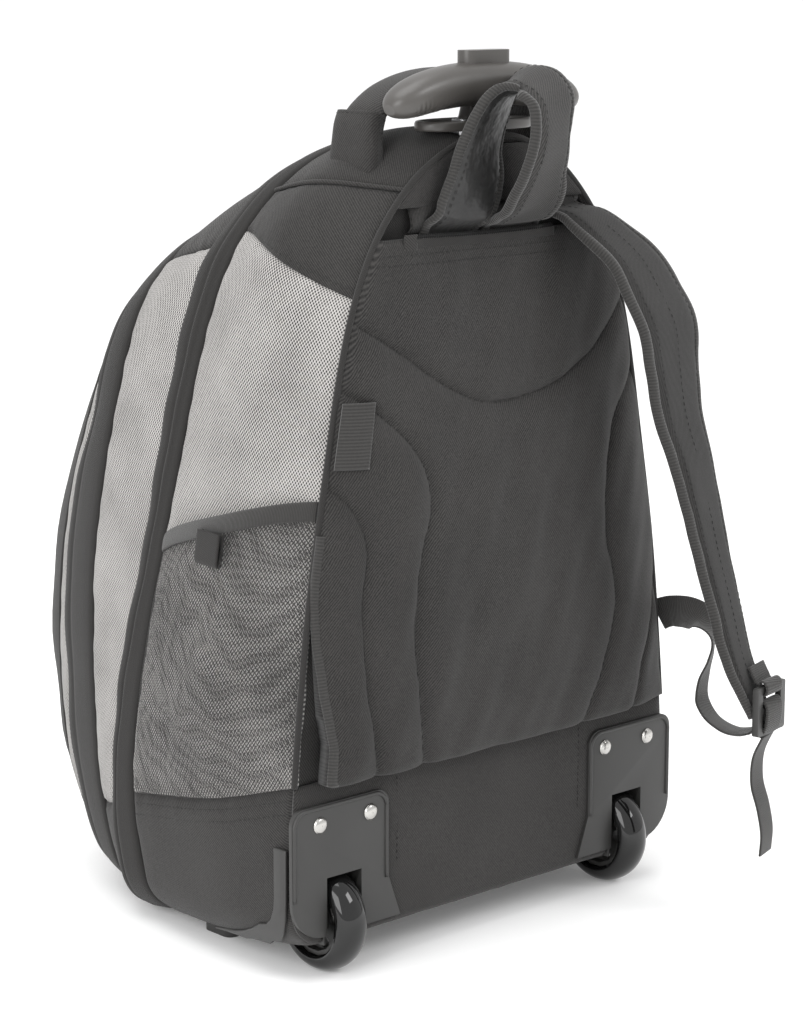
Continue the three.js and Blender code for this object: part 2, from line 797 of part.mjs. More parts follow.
function tyreGeometry() {
  const outer = wheelDiameter / 2;
  const inner = outer - tyreThickness;
  const half = wheelWidth / 2;
  const profile = [
    [inner, -half * 0.8], [inner + tyreThickness * 0.35, -half], [outer - tyreThickness * 0.25, -half * 0.7],
    [outer, -half * 0.25], [outer, half * 0.25], [outer - tyreThickness * 0.25, half * 0.7],
    [inner + tyreThickness * 0.35, half], [inner, half * 0.8], [inner, -half * 0.8],
  ];
  return turned(profile, tyreSegments);
}

// The hub: a rim, a thin web with holes between its spokes and a thick middle.
function hubGeometry() {
  const outer = wheelDiameter / 2 - tyreThickness - seamGap;
  const bore = axleDiameter / 2 + runningGap;
  const half = hubWidth / 2;
  const boss = bore + hubBossWall;
  const rim = outer - hubRimWall;
  const web = half * 0.4;
  const oneSide = [[bore, half], [boss, half], [boss, web], [rim, web], [rim, half], [outer, half]];
  const otherSide = oneSide.map(([radius, along]) => [radius, -along]);
  const profile = [...otherSide, ...oneSide.reverse(), otherSide[0]];
  let solid = toSolid(turned(profile, hubSegments));
  const reach = (boss + rim) / 2;
  for (let i = 0; i < spokeHoles; i += 1) {
    const turn = 2 * Math.PI * i / spokeHoles;
    const hole = axleCylinder(spokeHoleDiameter, wheelWidth);
    solid = solid.subtract(toSolid(hole.translate(0, Math.cos(turn) * reach, Math.sin(turn) * reach)));
  }
  return fromSolid(solid);
}

function addWheels() {
  let rivet = 0;
  for (const [name, side] of [['left', 1], ['right', -1]]) {
    const x = side * wheelSpacing / 2;
    addMesh(`wheel_housing_${name}`, housingBody(side), mouldedBlack);
    const place = (mesh) => mesh.position.set(x, 0, wheelDiameter / 2);
    place(addMesh(`tyre_${name}`, tyreGeometry(), glossyBlack));
    place(addMesh(`hub_${name}`, hubGeometry(), mouldedBlack));
    const axleLength = slotWidth + 2 * housingWall + 1;
    place(addMesh(`axle_${name}`, axleCylinder(axleDiameter, axleLength), steel));
    for (const across of [-0.5, 0.5]) {
      rivet += 1;
      const mesh = addMesh(`rivet_${rivet}`, rivetGeometry(), steel);
      mesh.position.set(x - side * rivetShift + across * rivetSpacing, rivetY, rivetZ);
    }
  }
}

// A domed rivet head on the plate's face.
const rivetY = backSeamY + 2 * seamGap + panelThickness + plateThickness;
function rivetGeometry() {
  const radius = rivetDiameter / 2;
  const dome = [[0, 0], [radius, 0], [radius * 0.75, rivetHeight * 0.8], [0, rivetHeight]];
  const points = dome.map(([r, h]) => new THREE.Vector2(r, h + seamGap / 3));
  return new THREE.LatheGeometry(points, 10);
}

// A moulded strip guards each lower rear corner. It comes down beside the plate, bends
// forward and runs under the corner of the base to the skid foot.
const guardBend = 30;
const guardRunEnd = 1.35;
function guardPath() {
  const perMillimetre = 1 / (sectionRows[1][1] * bagDepth);
  const bendY = backSeamY - guardBend - 1;
  const inside = guardBend - guardWidth;
  const atPlace = (y, z) => [(backSeamY - y) * perMillimetre, z];
  const bendZ = guardTopZ - guardBend;
  const rows = [[atPlace(bendY + guardBend, guardTopZ), atPlace(bendY + inside, guardTopZ)]];
  for (let i = 0; i <= 4; i += 1) {
    const turn = i * Math.PI / 8;
    const at = (r) => atPlace(bendY + r * Math.cos(turn), bendZ - r * Math.sin(turn));
    rows.push([at(guardBend), at(inside)]);
  }
  const [low, high] = rows[rows.length - 1];
  for (let i = 1; i <= 5; i += 1) {
    const share = i / 5;
    const v = low[0] + (guardRunEnd - low[0]) * share;
    const drop = (low[1] - housingWall) * share ** 0.8;
    rows.push([[v, low[1] - drop], [v, high[1] - drop]]);
  }
  return rows;
}

function cornerGuard(side) {
  const flip = new THREE.Vector3(side, 1, 1);
  const skin = [];
  const face = [];
  for (const [low, high] of guardPath()) {
    const cells = [0, 0.5, 1].map((share) => {
      const v = low[0] + (high[0] - low[0]) * share;
      const u = placeAtHeight(v, low[1] + (high[1] - low[1]) * share);
      return { point: surfacePoint(u, v), normal: surfaceNormal(u, v) };
    });
    const at = (lift) => cells.map(({ point, normal }) => (
      point.clone().addScaledVector(normal, lift).multiply(flip)));
    skin.push(at(guardClearance));
    face.push(at(guardClearance + guardThickness));
  }
  return shellBody(face, skin, false);
}

// A flat foot under the front end of each guard.
function skidFoot(side) {
  const [low] = guardPath().at(-1);
  const spot = surfacePoint(placeAtHeight(low[0], low[1]), low[0]);
  const foot = prism(roundedShape(footWidth, footLength, footWidth / 2 - seamGap), 0, footHeight);
  return foot.translate(side * spot.x, spot.y - footLength / 2 - seamGap, 0);
}

function addGuards() {
  for (const [name, side] of [['left', 1], ['right', -1]]) {
    addMesh(`corner_guard_${name}`, cornerGuard(side), mouldedBlack);
    addMesh(`skid_foot_${name}`, skidFoot(side), mouldedBlack);
  }
}

// A round-cornered tube, open at both ends.
function tubeGeometry(width, depth, z0, z1) {
  const outer = prism(roundedShape(width, depth, depth / 3), z0, z1);
  const inner = prism(
    roundedShape(width - 2 * tubeWall, depth - 2 * tubeWall, depth / 3 - tubeWall), z0 - 1, z1 + 1);
  return fromSolid(toSolid(outer).subtract(toSolid(inner)));
}

// The trolley: a fixed sleeve, a stage and a post that slide in each other, and the grip.
const crownZ = surfacePoint(0, 0.3).z;
const trolleyPlateZ = crownZ + seamGap + clothWall;
const trolleyTopZ = trolleyPlateZ + trolleyPlateThickness;
const stageWidth = sleeveWidth - 2 * tubeWall - 2 * tubeGap;
const stageDepth = sleeveDepth - 2 * tubeWall - 2 * tubeGap;
const postWidth = stageWidth - 2 * tubeWall - 2 * tubeGap;
const postDepth = stageDepth - 2 * tubeWall - 2 * tubeGap;
const gripDroopPower = 2.4;
const plateEndDroop = gripDroop * (trolleyPlateLength / gripLength) ** gripDroopPower;
const gripUnderZ = trolleyTopZ + gripClearance + plateEndDroop;
const gripZ = gripUnderZ + gripHeight / 2;
const gripTopZ = gripZ + gripHeight / 2;

function trolleyPlate() {
  const hole = roundedShape(stageWidth + 2 * tubeGap, stageDepth + 2 * tubeGap, stageDepth / 3);
  const plate = prism(roundedShape(trolleyPlateLength, trolleyPlateDepth, trolleyPlateDepth / 2 - 1),
    trolleyPlateZ, trolleyTopZ);
  return fromSolid(toSolid(plate).subtract(toSolid(prism(hole, 0, gripTopZ))));
}

// The grip: an arched bar that droops at both ends, hollowed for the post and the button.
function gripGeometry() {
  const count = 10;
  const rows = range(0, count).map((i) => {
    const s = Math.sin((i / count - 0.5) * Math.PI);
    const fullness = Math.sqrt(1 - 0.9 * s ** 8);
    const up = (gripHeight + (gripEndHeight - gripHeight) * s * s) / 2;
    const z = gripZ - gripDroop * Math.abs(s) ** gripDroopPower;
    return {
      middle: new THREE.Vector3(s * gripLength / 2, trolleyY + gripLean, z),
      across: gripDepth / 2 * fullness,
      up: up * fullness,
    };
  });
  const socketShape = roundedShape(postWidth + 2 * seamGap, postDepth + 2 * seamGap, postDepth / 3);
  const socket = prism(socketShape, 0, gripUnderZ + gripSocketDepth);
  const recess = prism(
    roundedShape(buttonLength + 2 * runningGap, buttonDepth + 2 * runningGap, buttonDepth / 2),
    gripTopZ - buttonRecess, gripTopZ + buttonRise).translate(0, trolleyY + gripLean, 0);
  const solid = toSolid(ovalBody(rows, 10)).subtract(toSolid(socket.translate(0, trolleyY, 0)));
  return fromSolid(solid.subtract(toSolid(recess)));
}

function addTrolley() {
  const seatZ = trolleyPlateZ - seamGap;
  const part = (name, geometry, look) => addMesh(name, geometry, look).position.set(0, trolleyY, 0);
  part('trolley_sleeve', tubeGeometry(sleeveWidth, sleeveDepth, sleeveBottomZ, seatZ), steel);
  part('trolley_stage', tubeGeometry(stageWidth, stageDepth, sleeveBottomZ, trolleyTopZ), steel);
  part('trolley_plate', trolleyPlate(), mouldedBlack);
  const postTopZ = gripUnderZ + gripSocketDepth - seamGap;
  part('grip_post', tubeGeometry(postWidth, postDepth, sleeveBottomZ, postTopZ), steel);
  addMesh('trolley_grip', gripGeometry(), mouldedBlack);
  const button = prism(roundedShape(buttonLength, buttonDepth, buttonDepth / 2 - seamGap),
    gripTopZ - buttonRecess + buttonTravel + seamGap, gripTopZ + buttonRise);
  addMesh('push_button', button, mouldedBlack).position.set(0, trolleyY + gripLean, 0);
}

// The grab handle: a padded arch whose ends sit in cloth sleeves on the shoulders.
// Rows: share of half the span, share of the rise.
const handleRows = [[1.09, 0.28], [1.08, 0.5], [1, 0.72], [0.78, 0.89], [0.42, 0.975], [0, 1]];
const handleRootZ = handleTopZ - handleRise;
function handleMiddles(rows) {
  const rise = handleRise - handleThickness / 2;
  const half = rows.map(([side, up]) => (
    new THREE.Vector3(side * handleSpan / 2, handleY, handleRootZ + up * rise)));
  return [...half, ...half.slice(0, -1).reverse().map((p) => new THREE.Vector3(-p.x, p.y, p.z))];
}

function handleGeometry(extra) {
  const middles = handleMiddles(handleRows);
  middles.at(0).z -= extra;
  middles.at(-1).z -= extra;
  const oval = (middle) => ({ middle, across: handleWidth / 2 + extra, up: handleThickness / 2 + extra });
  return ovalBody(middles.map(oval), handleSides);
}

// Each sleeve is a flat tube of cloth that stands on the top panel round the arch's end.
// Rows: share of half the span, share of the sleeve's height.
const sleeveRows = [[1.13, 0], [1.11, 0.46], [1.085, 0.83], [1.04, 1.1]];
function handleSleeve(side, underTop) {
  const wall = handleSleeveWall + seamGap;
  const footZ = handleSleeveTopZ - handleSleeveHeight;
  const rows = sleeveRows.map(([across, up]) => ({
    middle: new THREE.Vector3(side * across * handleSpan / 2, handleY, footZ + up * handleSleeveHeight),
    across: handleWidth / 2 + wall,
    up: handleThickness / 2 + wall,
  }));
  const tube = toSolid(ovalBody(rows, handleSides)).subtract(toSolid(handleGeometry(seamGap)));
  return fromSolid(tube.subtract(underTop));
}

function addHandle() {
  addMesh('grab_handle', handleGeometry(0), darkCloth);
  const top = skinGrid(backSeam, rearZipStart, 4, range(-seamColumn, seamColumn), columnPlace);
  const underTop = toSolid(clothOnGrid(top, false, handleSleeveHeight, () => seamGap));
  addMesh('handle_sleeve_left', handleSleeve(1, underTop), darkCloth);
  addMesh('handle_sleeve_right', handleSleeve(-1, underTop), darkCloth);
}

// The bottle pockets: nets that bulge off the side panels, open at the top.
const pocketSpan = [0.06, 1.94];
const pocketTop = (v) => pocketTopRear + (pocketTopFront - pocketTopRear) * (v / rearZipStart) ** 1.4;
function pocketLift(along, down) {
  const bow = Math.sin(Math.PI * along) ** 0.7;
  return netThickness + seamGap + bow * (pocketMouth * (1 - down) + pocketBulge * Math.sin(Math.PI * down));
}

function pocketGrid(topLine, bottomLine, rows, columns) {
  const place = (c, v) => {
    const top = placeAtHeight(v, topLine(v));
    const bottom = bottomLine(v);
    return top + (bottom - top) * c / columns;
  };
  return skinGrid(pocketSpan[0], pocketSpan[1], rows, range(0, columns), place);
}

function pocketPieces() {
  const rows = 8;
  const bandTop = (v) => pocketTop(v) + pocketBandHeight;
  const bandBottom = (v) => placeAtHeight(v, pocketTop(v));
  const net = pocketGrid(pocketTop, baseLine, rows, 7);
  const band = pocketGrid(bandTop, bandBottom, rows, 1);
  const loopTop = (v) => pocketTop(v) + pocketBandHeight * 0.2;
  const loopBottom = (v) => placeAtHeight(v, loopTop(v) - pocketLoopHeight);
  const place = (c, v) => {
    const top = placeAtHeight(v, loopTop(v));
    return top + (loopBottom(v) - top) * c / 2;
  };
  const reach = pocketLoopWidth / (2 * bagDepth * 0.23);
  const middle = (pocketSpan[0] + pocketSpan[1]) / 2;
  const loop = skinGrid(middle - reach, middle + reach, 1, range(0, 2), place);
  const loopLift = pocketMouth + pocketBandThickness + 3 * seamGap + webbingThickness;
  return {
    net: clothOnGrid(net, false, netThickness, pocketLift),
    band: clothOnGrid(band, false, pocketBandThickness,
      (along) => pocketLift(along, 0) + pocketBandThickness - netThickness),
    loop: clothOnGrid(loop, false, webbingThickness, (along, down) => loopLift + 3 * down),
  };
}

function mirroredGeometry(geometry) {
  const copy = geometry.clone().scale(-1, 1, 1);
  flipFaces(copy);
  return copy;
}

function addPockets() {
  const pieces = pocketPieces();
  const looks = { net: netCloth, band: darkTape, loop: darkTape };
  for (const [kind, geometry] of Object.entries(pieces)) {
    addMesh(`pocket_${kind}_left`, geometry, looks[kind]);
    addMesh(`pocket_${kind}_right`, mirroredGeometry(geometry), looks[kind]);
  }
}

// The right shoulder strap hangs from under the hem, out and down to its buckle. Rows: side
// as a share of the bag's half width, out and up as shares of the strap's reach and drop,
// width share, turn in degrees, fullness.
const strapRows = [
  [-0.37, 0, 1.005, 0.42, 0, 0.35],
  [-0.375, 0.01, 0.984, 0.48, 2, 0.4],
  [-0.405, 0.14, 0.968, 0.64, 6, 0.8],
  [-0.43, 0.28, 0.935, 0.74, 9, 1],
  [-0.48, 0.42, 0.885, 0.85, 12, 1],
  [-0.51, 0.51, 0.825, 0.94, 14, 1],
  [-0.545, 0.57, 0.765, 1, 15, 1],
  [-0.565, 0.585, 0.695, 0.97, 16, 1],
  [-0.598, 0.6, 0.6, 0.91, 16, 1],
  [-0.642, 0.65, 0.505, 0.86, 17, 1],
  [-0.677, 0.685, 0.415, 0.8, 18, 1],
  [-0.707, 0.735, 0.31, 0.73, 18, 1],
  [-0.735, 0.793, 0.21, 0.66, 19, 1],
  [-0.763, 0.835, 0.12, 0.58, 19, 0.9],
  [-0.795, 0.885, 0.055, 0.5, 18, 0.7],
  [-0.815, 0.933, 0.005, 0.38, 15, 0.4],
];
const strapRootY = 12.6;
const strapEndZ = 131;
function strapStations() {
  return strapRows.map(([side, out, up, wide, turn, bulk]) => {
    const angle = turn * Math.PI / 180;
    return {
      middle: new THREE.Vector3(side * halfWidth, strapRootY + out * strapReach, strapEndZ + up * strapDrop),
      wide: new THREE.Vector3(-Math.cos(angle), -Math.sin(angle), 0),
      width: wide * strapWidth,
      bulk,
    };
  });
}

// The left strap is stowed: a loop of it stands out of the strap pocket. Rows: near edge
// and far edge, each side as a share of the strap's width, out and up as shares of the
// loop's reach and height; fullness.
const loopRows = [
  [0.8, 0, -0.16, 0.16, 0, -0.14, 0.4],
  [0.8, 0, 0.03, 0.14, 0, 0.03, 0.4],
  [0.77, 0.13, 0.16, 0.06, 0.13, 0.16, 0.6],
  [0.67, 0.2, 0.38, 0.02, 0.18, 0.4, 0.8],
  [0.6, 0.25, 0.6, 0.02, 0.16, 0.62, 1],
  [0.51, 0.32, 0.8, -0.04, 0.19, 0.86, 1],
  [0.4, 0.42, 0.95, -0.18, 0.23, 1.06, 1],
  [0.31, 0.56, 1, -0.3, 0.29, 1.15, 1],
  [0.27, 0.7, 0.96, -0.39, 0.37, 1.14, 1],
  [0.26, 0.8, 0.85, -0.44, 0.46, 1.05, 1],
  [0.27, 0.82, 0.7, -0.44, 0.51, 0.9, 1],
  [0.29, 0.78, 0.55, -0.44, 0.51, 0.72, 1],
  [0.27, 0.66, 0.41, -0.45, 0.48, 0.55, 1],
  [0.22, 0.5, 0.28, -0.48, 0.4, 0.37, 1],
  [0.15, 0.33, 0.18, -0.56, 0.3, 0.2, 0.8],
  [0.1, 0.17, 0.1, -0.59, 0.17, 0.1, 0.55],
  [0.06, 0, 0.03, -0.6, 0, 0.03, 0.4],
  [0.05, 0, -0.16, -0.6, 0, -0.16, 0.4],
];
function loopStations() {
  return loopRows.map(([nearSide, nearOut, nearUp, farSide, farOut, farUp, bulk]) => {
    const point = (side, out, up) => new THREE.Vector3(
      side * strapWidth, strapRootY + out * loopReach, flapTopZ + up * loopHeight);
    const near = point(nearSide, nearOut, nearUp);
    const far = point(farSide, farOut, farUp);
    return {
      middle: near.clone().lerp(far, 0.5), wide: far.clone().sub(near), width: near.distanceTo(far), bulk,
    };
  });
}

// The webbing runs from the side seam, loops behind the strap and comes up to the buckle.
// Rows: side, out and up from the buckle's middle, as shares of the buckle's distance from
// the back seam; then the direction of the webbing's width.
const webbingRows = [
  [-0.154, -0.992, 0.34, 0.11, 0, 1],
  [-0.157, -0.955, 0.36, 0.11, 0, 1],
  [-0.164, -0.895, 0.379, 0.05, 0.05, 1],
  [-0.155, -0.745, 0.395, -0.35, -0.3, 0.8],
  [-0.146, -0.626, 0.369, -0.6, -0.5, 0.5],
  [-0.136, -0.546, 0.289, -0.75, -0.6, 0.3],
  [-0.127, -0.55, 0.182, -0.85, -0.5, 0.2],
  [-0.117, -0.592, 0.048, -0.93, -0.36, 0.1],
  [-0.108, -0.596, -0.084, -0.93, -0.36, 0],
  [-0.089, -0.507, -0.171, -0.93, -0.36, -0.1],
  [-0.066, -0.355, -0.208, -0.95, -0.3, -0.1],
  [-0.038, -0.202, -0.188, -0.98, -0.25, 0],
  [0.01, -0.06, -0.135, -1, -0.2, 0],
  [0, -0.04, -0.095, -1, -0.2, 0],
];
const buckleX = -0.845 * halfWidth;
const buckleY = 121;
const buckleZ = 135;
const buckleTurn = 12 * Math.PI / 180;
const webbingReach = buckleY - backSeamY;
function webbingStations() {
  return webbingRows.map(([side, out, up, wx, wy, wz]) => ({
    middle: new THREE.Vector3(
      buckleX + side * webbingReach, buckleY + out * webbingReach, buckleZ + up * webbingReach),
    wide: new THREE.Vector3(wx, wy, wz),
    width: webbingWidth,
    bulk: 1,
  }));
}

// The loose tail below the buckle. Rows: side and out as shares of the webbing's width,
// down as a share of the tail's length.
const tailRows = [
  [0, 0, 0.012],
  [0.02, -0.2, 0.2],
  [0, -0.2, 0.42],
  [-0.05, 0, 0.62],
  [-0.08, 0.12, 0.82],
  [-0.06, 0.1, 1],
];
function tailStations() {
  const topZ = buckleZ - buckleLength / 2 - seamGap;
  return tailRows.map(([side, out, down]) => ({
    middle: new THREE.Vector3(
      buckleX + side * webbingWidth, buckleY + out * webbingWidth, topZ - down * tailLength),
    wide: new THREE.Vector3(-0.94, -0.34, 0),
    width: webbingWidth,
    bulk: 1,
  }));
}

// A ladder-lock buckle with two slots.
function buckleGeometry() {
  const slotHeight = (buckleLength - 3 * buckleThickness) / 2;
  const plate = roundedShape(buckleWidth, buckleLength, buckleThickness / 2);
  for (const side of [-1, 1]) {
    const middle = side * (slotHeight + buckleThickness) / 2;
    const half = [webbingWidth / 2 + seamGap, slotHeight / 2];
    const hole = new THREE.Path();
    hole.moveTo(-half[0], middle - half[1]);
    hole.lineTo(half[0], middle - half[1]);
    hole.lineTo(half[0], middle + half[1]);
    hole.lineTo(-half[0], middle + half[1]);
    plate.holes.push(hole);
  }
  return plateBetween(plate, -buckleThickness / 2, buckleThickness / 2);
}

function addStraps() {
  addMesh('strap_right', strapBody(strapStations(), strapThickness, strapProfile), darkCloth);
  addMesh('strap_left', strapBody(loopStations(), strapThickness, strapProfile), darkCloth);
  const buckle = addMesh('strap_buckle', buckleGeometry(), mouldedBlack);
  buckle.position.set(buckleX, buckleY, buckleZ);
  buckle.rotation.z = buckleTurn;
  addMesh('strap_webbing', strapBody(webbingStations(), webbingThickness, webbingProfile), darkTape);
  addMesh('strap_tail', strapBody(tailStations(), webbingThickness, webbingProfile), darkTape);
}

// A bare folded tab sewn in the left side seam, lying on the flap.
function addLabel() {
  const rows = range(0, 2).map((r) => labelTopZ - labelHeight * r / 2);
  const skin = (lift) => rows.map((z) => range(0, 2).map((c) => {
    const half = backHalfWidth(z);
    const x = half - 1 - labelWidth * c / 2;
    const face = backSeamY + seamGap + flapEdge + flapRise(x / half, z);
    return new THREE.Vector3(x, face + lift, z);
  }));
  addMesh('label_tab', shellBody(skin(1 + labelThickness), skin(1), false), darkTape);
}

addBagShell();
addBackPanels();
addWheels();
addGuards();
addTrolley();
addHandle();
addPockets();
addStraps();
addLabel();

// The origin is the middle of the finished object's outline on the ground.
const outline = new THREE.Box3().setFromObject(bag);
const middle = outline.getCenter(new THREE.Vector3());
bag.position.set(-middle.x, -middle.y, -outline.min.z);

export default bag;
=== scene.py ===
# Looks of the wheeled backpack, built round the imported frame.
# Lengths are millimetres with y = 0 at the wheel axle until a mesh is made.
import math

import bmesh
import bpy
import numpy as np
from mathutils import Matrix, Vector


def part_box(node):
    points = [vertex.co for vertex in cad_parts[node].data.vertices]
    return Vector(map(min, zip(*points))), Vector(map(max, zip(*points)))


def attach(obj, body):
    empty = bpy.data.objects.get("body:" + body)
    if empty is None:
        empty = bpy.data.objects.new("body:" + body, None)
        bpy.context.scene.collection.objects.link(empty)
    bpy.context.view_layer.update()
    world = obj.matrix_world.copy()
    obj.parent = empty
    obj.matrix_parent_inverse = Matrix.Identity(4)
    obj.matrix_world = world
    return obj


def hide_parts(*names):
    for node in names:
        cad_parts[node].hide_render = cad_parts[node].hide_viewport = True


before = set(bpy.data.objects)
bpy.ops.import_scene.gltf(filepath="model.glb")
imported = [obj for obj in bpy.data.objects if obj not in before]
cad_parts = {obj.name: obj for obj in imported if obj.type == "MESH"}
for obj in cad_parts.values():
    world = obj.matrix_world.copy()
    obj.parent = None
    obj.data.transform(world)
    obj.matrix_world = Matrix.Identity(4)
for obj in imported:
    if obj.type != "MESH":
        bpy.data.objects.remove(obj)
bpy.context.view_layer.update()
tyre_low, tyre_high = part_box("tyre_left")
AXLE_Y = (tyre_low.y + tyre_high.y) / 2 * 1000

# Camera: the photograph's, 804 x 1024 with a focal length of 2752.7 pixels
FOCAL_PIXELS = 2752.7
PHOTO_HEIGHT = 1024
SENSOR = 36.0
CAMERA_AT = (1114.4, 1157.4, 579.1)
CAMERA_TURN = math.radians(42.44)
CAMERA_PITCH = math.radians(11.386)

camera_data = bpy.data.cameras.new("camera")
camera_data.sensor_width = SENSOR
camera_data.lens = FOCAL_PIXELS / PHOTO_HEIGHT * SENSOR
camera_data.clip_end = 50
camera = bpy.data.objects.new("camera", camera_data)
bpy.context.scene.collection.objects.link(camera)
camera.location = (CAMERA_AT[0] / 1000, (CAMERA_AT[1] + AXLE_Y) / 1000, CAMERA_AT[2] / 1000)
forward = Vector((
    -math.sin(CAMERA_TURN) * math.cos(CAMERA_PITCH),
    -math.cos(CAMERA_TURN) * math.cos(CAMERA_PITCH),
    -math.sin(CAMERA_PITCH),
))
camera.rotation_euler = forward.to_track_quat("-Z", "Y").to_euler()
bpy.context.scene.camera = camera
bpy.context.scene.view_settings.view_transform = "Standard"

# Sizes shared with the solids
BAG_HEIGHT = 480.0
BAG_WIDTH = 316.0
BAG_DEPTH = 306.0
BACK_SEAM_Y = 14.6
HALF_WIDTH = BAG_WIDTH / 2
CLOTH = 2.0
FLAP_BOTTOM = 119.3
FLAP_TOP = 424.0
FLAP_FACE_Y = 18.9
FLAP_CROWN = 22.0

# height, width at the back, width at the front
OUTLINE = np.array([
    [1, 0, 0], [0.997, 0.13, 0.26], [0.978, 0.27, 0.5], [0.945, 0.415, 0.67],
    [0.889, 0.56, 0.81], [0.82, 0.665, 0.875], [0.73, 0.745, 0.91], [0.6, 0.82, 0.945],
    [0.45, 0.9, 0.972], [0.3, 0.955, 0.99], [0.17, 0.99, 1], [0.075, 1, 0.985],
    [0.034, 0.985, 0.95], [0.011, 0.935, 0.87], [0, 0.84, 0.74], [0, 0.42, 0.37], [0, 0, 0],
])
# foot, low, middle, high, crown, half width, base, top, squareness
SECTIONS = np.array([
    [0, 0, 0, 0, 0, 0.98, 0.046, 0.996, 0],
    [0.195, 0.218, 0.205, 0.185, 0.146, 1, 0.025, 1.004, 0.5],
    [0.456, 0.499, 0.43, 0.352, 0.276, 0.965, 0.012, 0.988, 0.5],
    [0.531, 0.558, 0.486, 0.407, 0.335, 0.956, 0.009, 0.972, 0.6],
    [0.597, 0.662, 0.688, 0.629, 0.564, 0.892, 0.012, 0.892, 0.85],
    [0.688, 0.773, 0.796, 0.708, 0.62, 0.835, 0.021, 0.862, 1],
    [0.754, 0.855, 0.871, 0.773, 0.662, 0.766, 0.038, 0.829, 1],
    [0.825, 0.93, 0.95, 0.842, 0.718, 0.684, 0.065, 0.788, 1],
    [0.891, 0.986, 0.9985, 0.91, 0.806, 0.544, 0.13, 0.708, 1],
])
OUTLINE_END = len(OUTLINE) - 1
SECTION_END = len(SECTIONS) - 1
OUTLINE_KNOTS = np.arange(OUTLINE_END + 1.0)
SECTION_KNOTS = np.arange(SECTION_END + 1.0)
DEPTH_HEIGHTS = np.array([0, 0.2, 0.5, 0.8, 1])
BACK_SEAM, REAR_ZIP, REAR_ZIP_END, FRONT_ZIP, FRONT_ZIP_END, FRONT_PANEL = 0, 2, 3, 4, 5, 6
TOP_SEAM = 3.1
CROWN, SEAM, YOKE, BASE, LAST = 0.0, 4.0, 7.0, 14.0, 22.0


def smooth(knots, values, t):
    """Smooth values at t through the knots. values: one row per knot."""
    t = np.asarray(t, float)
    last = len(knots) - 1
    i = np.clip(np.searchsorted(knots[1:], t, side="left"), 0, last - 1)
    values = np.asarray(values, float)

    def at(k):
        if values.ndim == 1:
            return values[k]
        return np.take_along_axis(values, k[None], 0)[0]

    def slope(k):
        a = np.maximum(k - 1, 0)
        b = np.minimum(k + 1, last)
        return (at(b) - at(a)) / (knots[b] - knots[a])

    span = knots[i + 1] - knots[i]
    s = (t - knots[i]) / span
    s2, s3 = s * s, s * s * s
    return ((2 * s3 - 3 * s2 + 1) * at(i) + (s3 - 2 * s2 + s) * span * slope(i)
            + (3 * s2 - 2 * s3) * at(i + 1) + (s3 - s2) * span * slope(i + 1))


def surface(u, v):
    """Points of the bag's skin at outline place u and section v, arrays of one shape."""
    u, v = np.broadcast_arrays(np.asarray(u, float), np.asarray(v, float))
    u = np.where(u > OUTLINE_END, u - 2 * OUTLINE_END, u)
    a = np.abs(u)
    h = smooth(OUTLINE_KNOTS, OUTLINE[:, 0], a)
    back = smooth(OUTLINE_KNOTS, OUTLINE[:, 1], a)
    front = smooth(OUTLINE_KNOTS, OUTLINE[:, 2], a)
    xs, ys, zs = [], [], []
    for row in SECTIONS:
        width, base, top, square = row[5:]
        w = back * (1 - square) + front * square
        depth = smooth(DEPTH_HEIGHTS, row[:5], np.clip(h, 0, 1))
        xs.append(np.sign(u) * w * width * HALF_WIDTH)
        ys.append(BACK_SEAM_Y - depth * BAG_DEPTH)
        zs.append((base + (top - base) * h) * BAG_HEIGHT)
    parts = [smooth(SECTION_KNOTS, np.array(p), v) for p in (xs, ys, zs)]
    return np.stack(parts, -1)


def unit(a):
    return a / np.maximum(np.linalg.norm(a, axis=-1, keepdims=True), 1e-9)


def surface_normal(u, v):
    step = 0.02
    low, high = np.maximum(0, v - step), np.minimum(SECTION_END, v + step)
    along = surface(u + step, v) - surface(u - step, v)
    across = surface(u, high) - surface(u, low)
    return unit(np.cross(across, along))


def place_at_height(v, z):
    v, z = np.broadcast_arrays(np.asarray(v, float), np.asarray(z, float))
    low = np.zeros(v.shape)
    high = np.full(v.shape, OUTLINE_END - 2.0)
    for _ in range(24):
        middle = (low + high) / 2
        above = surface(middle, v)[..., 2] > z
        low = np.where(above, middle, low)
        high = np.where(above, high, middle)
    return (low + high) / 2


LINE_KNOTS = np.array([BACK_SEAM, REAR_ZIP, FRONT_ZIP_END], float)


def line_place(v, heights):
    v = np.minimum(v, FRONT_PANEL)
    return place_at_height(v, smooth(LINE_KNOTS, np.array(heights, float), v))


def base_line(v):
    return line_place(v, [119, 82, 55])


def yoke_line(v):
    return line_place(v, [392, 424, 383])


def skin_grid(v, k):
    """Places and points of the skin for a column of sections v and a row of columns k."""
    v = np.asarray(v, float)
    k = np.asarray(k, float)
    zero = np.zeros(len(v))
    stops = np.stack([zero, zero + TOP_SEAM, yoke_line(v), base_line(v), zero + OUTLINE_END])
    columns = np.array([CROWN, SEAM, YOKE, BASE, LAST])
    folded = np.where(k > LAST, 2 * LAST - k, np.abs(k))
    places = np.array([np.interp(folded, columns, stops[:, i]) for i in range(len(v))])
    places = np.where(k > LAST, 2 * OUTLINE_END - places, places)
    places = np.where(k < 0, -places, places)
    rows = np.broadcast_to(v[:, None], places.shape)
    return surface(places, rows), surface_normal(places, rows)


# Even, repeatable waves in place of random bumps
def waves(points, size, seed, count=7):
    rng = np.random.default_rng(seed)
    total = np.zeros(points.shape[:-1])
    for _ in range(count):
        direction = unit(rng.normal(size=3))
        length = size * rng.uniform(0.6, 1.6)
        total += np.sin(points @ direction * 2 * math.pi / length + rng.uniform(0, 6.28))
    return total / math.sqrt(count)


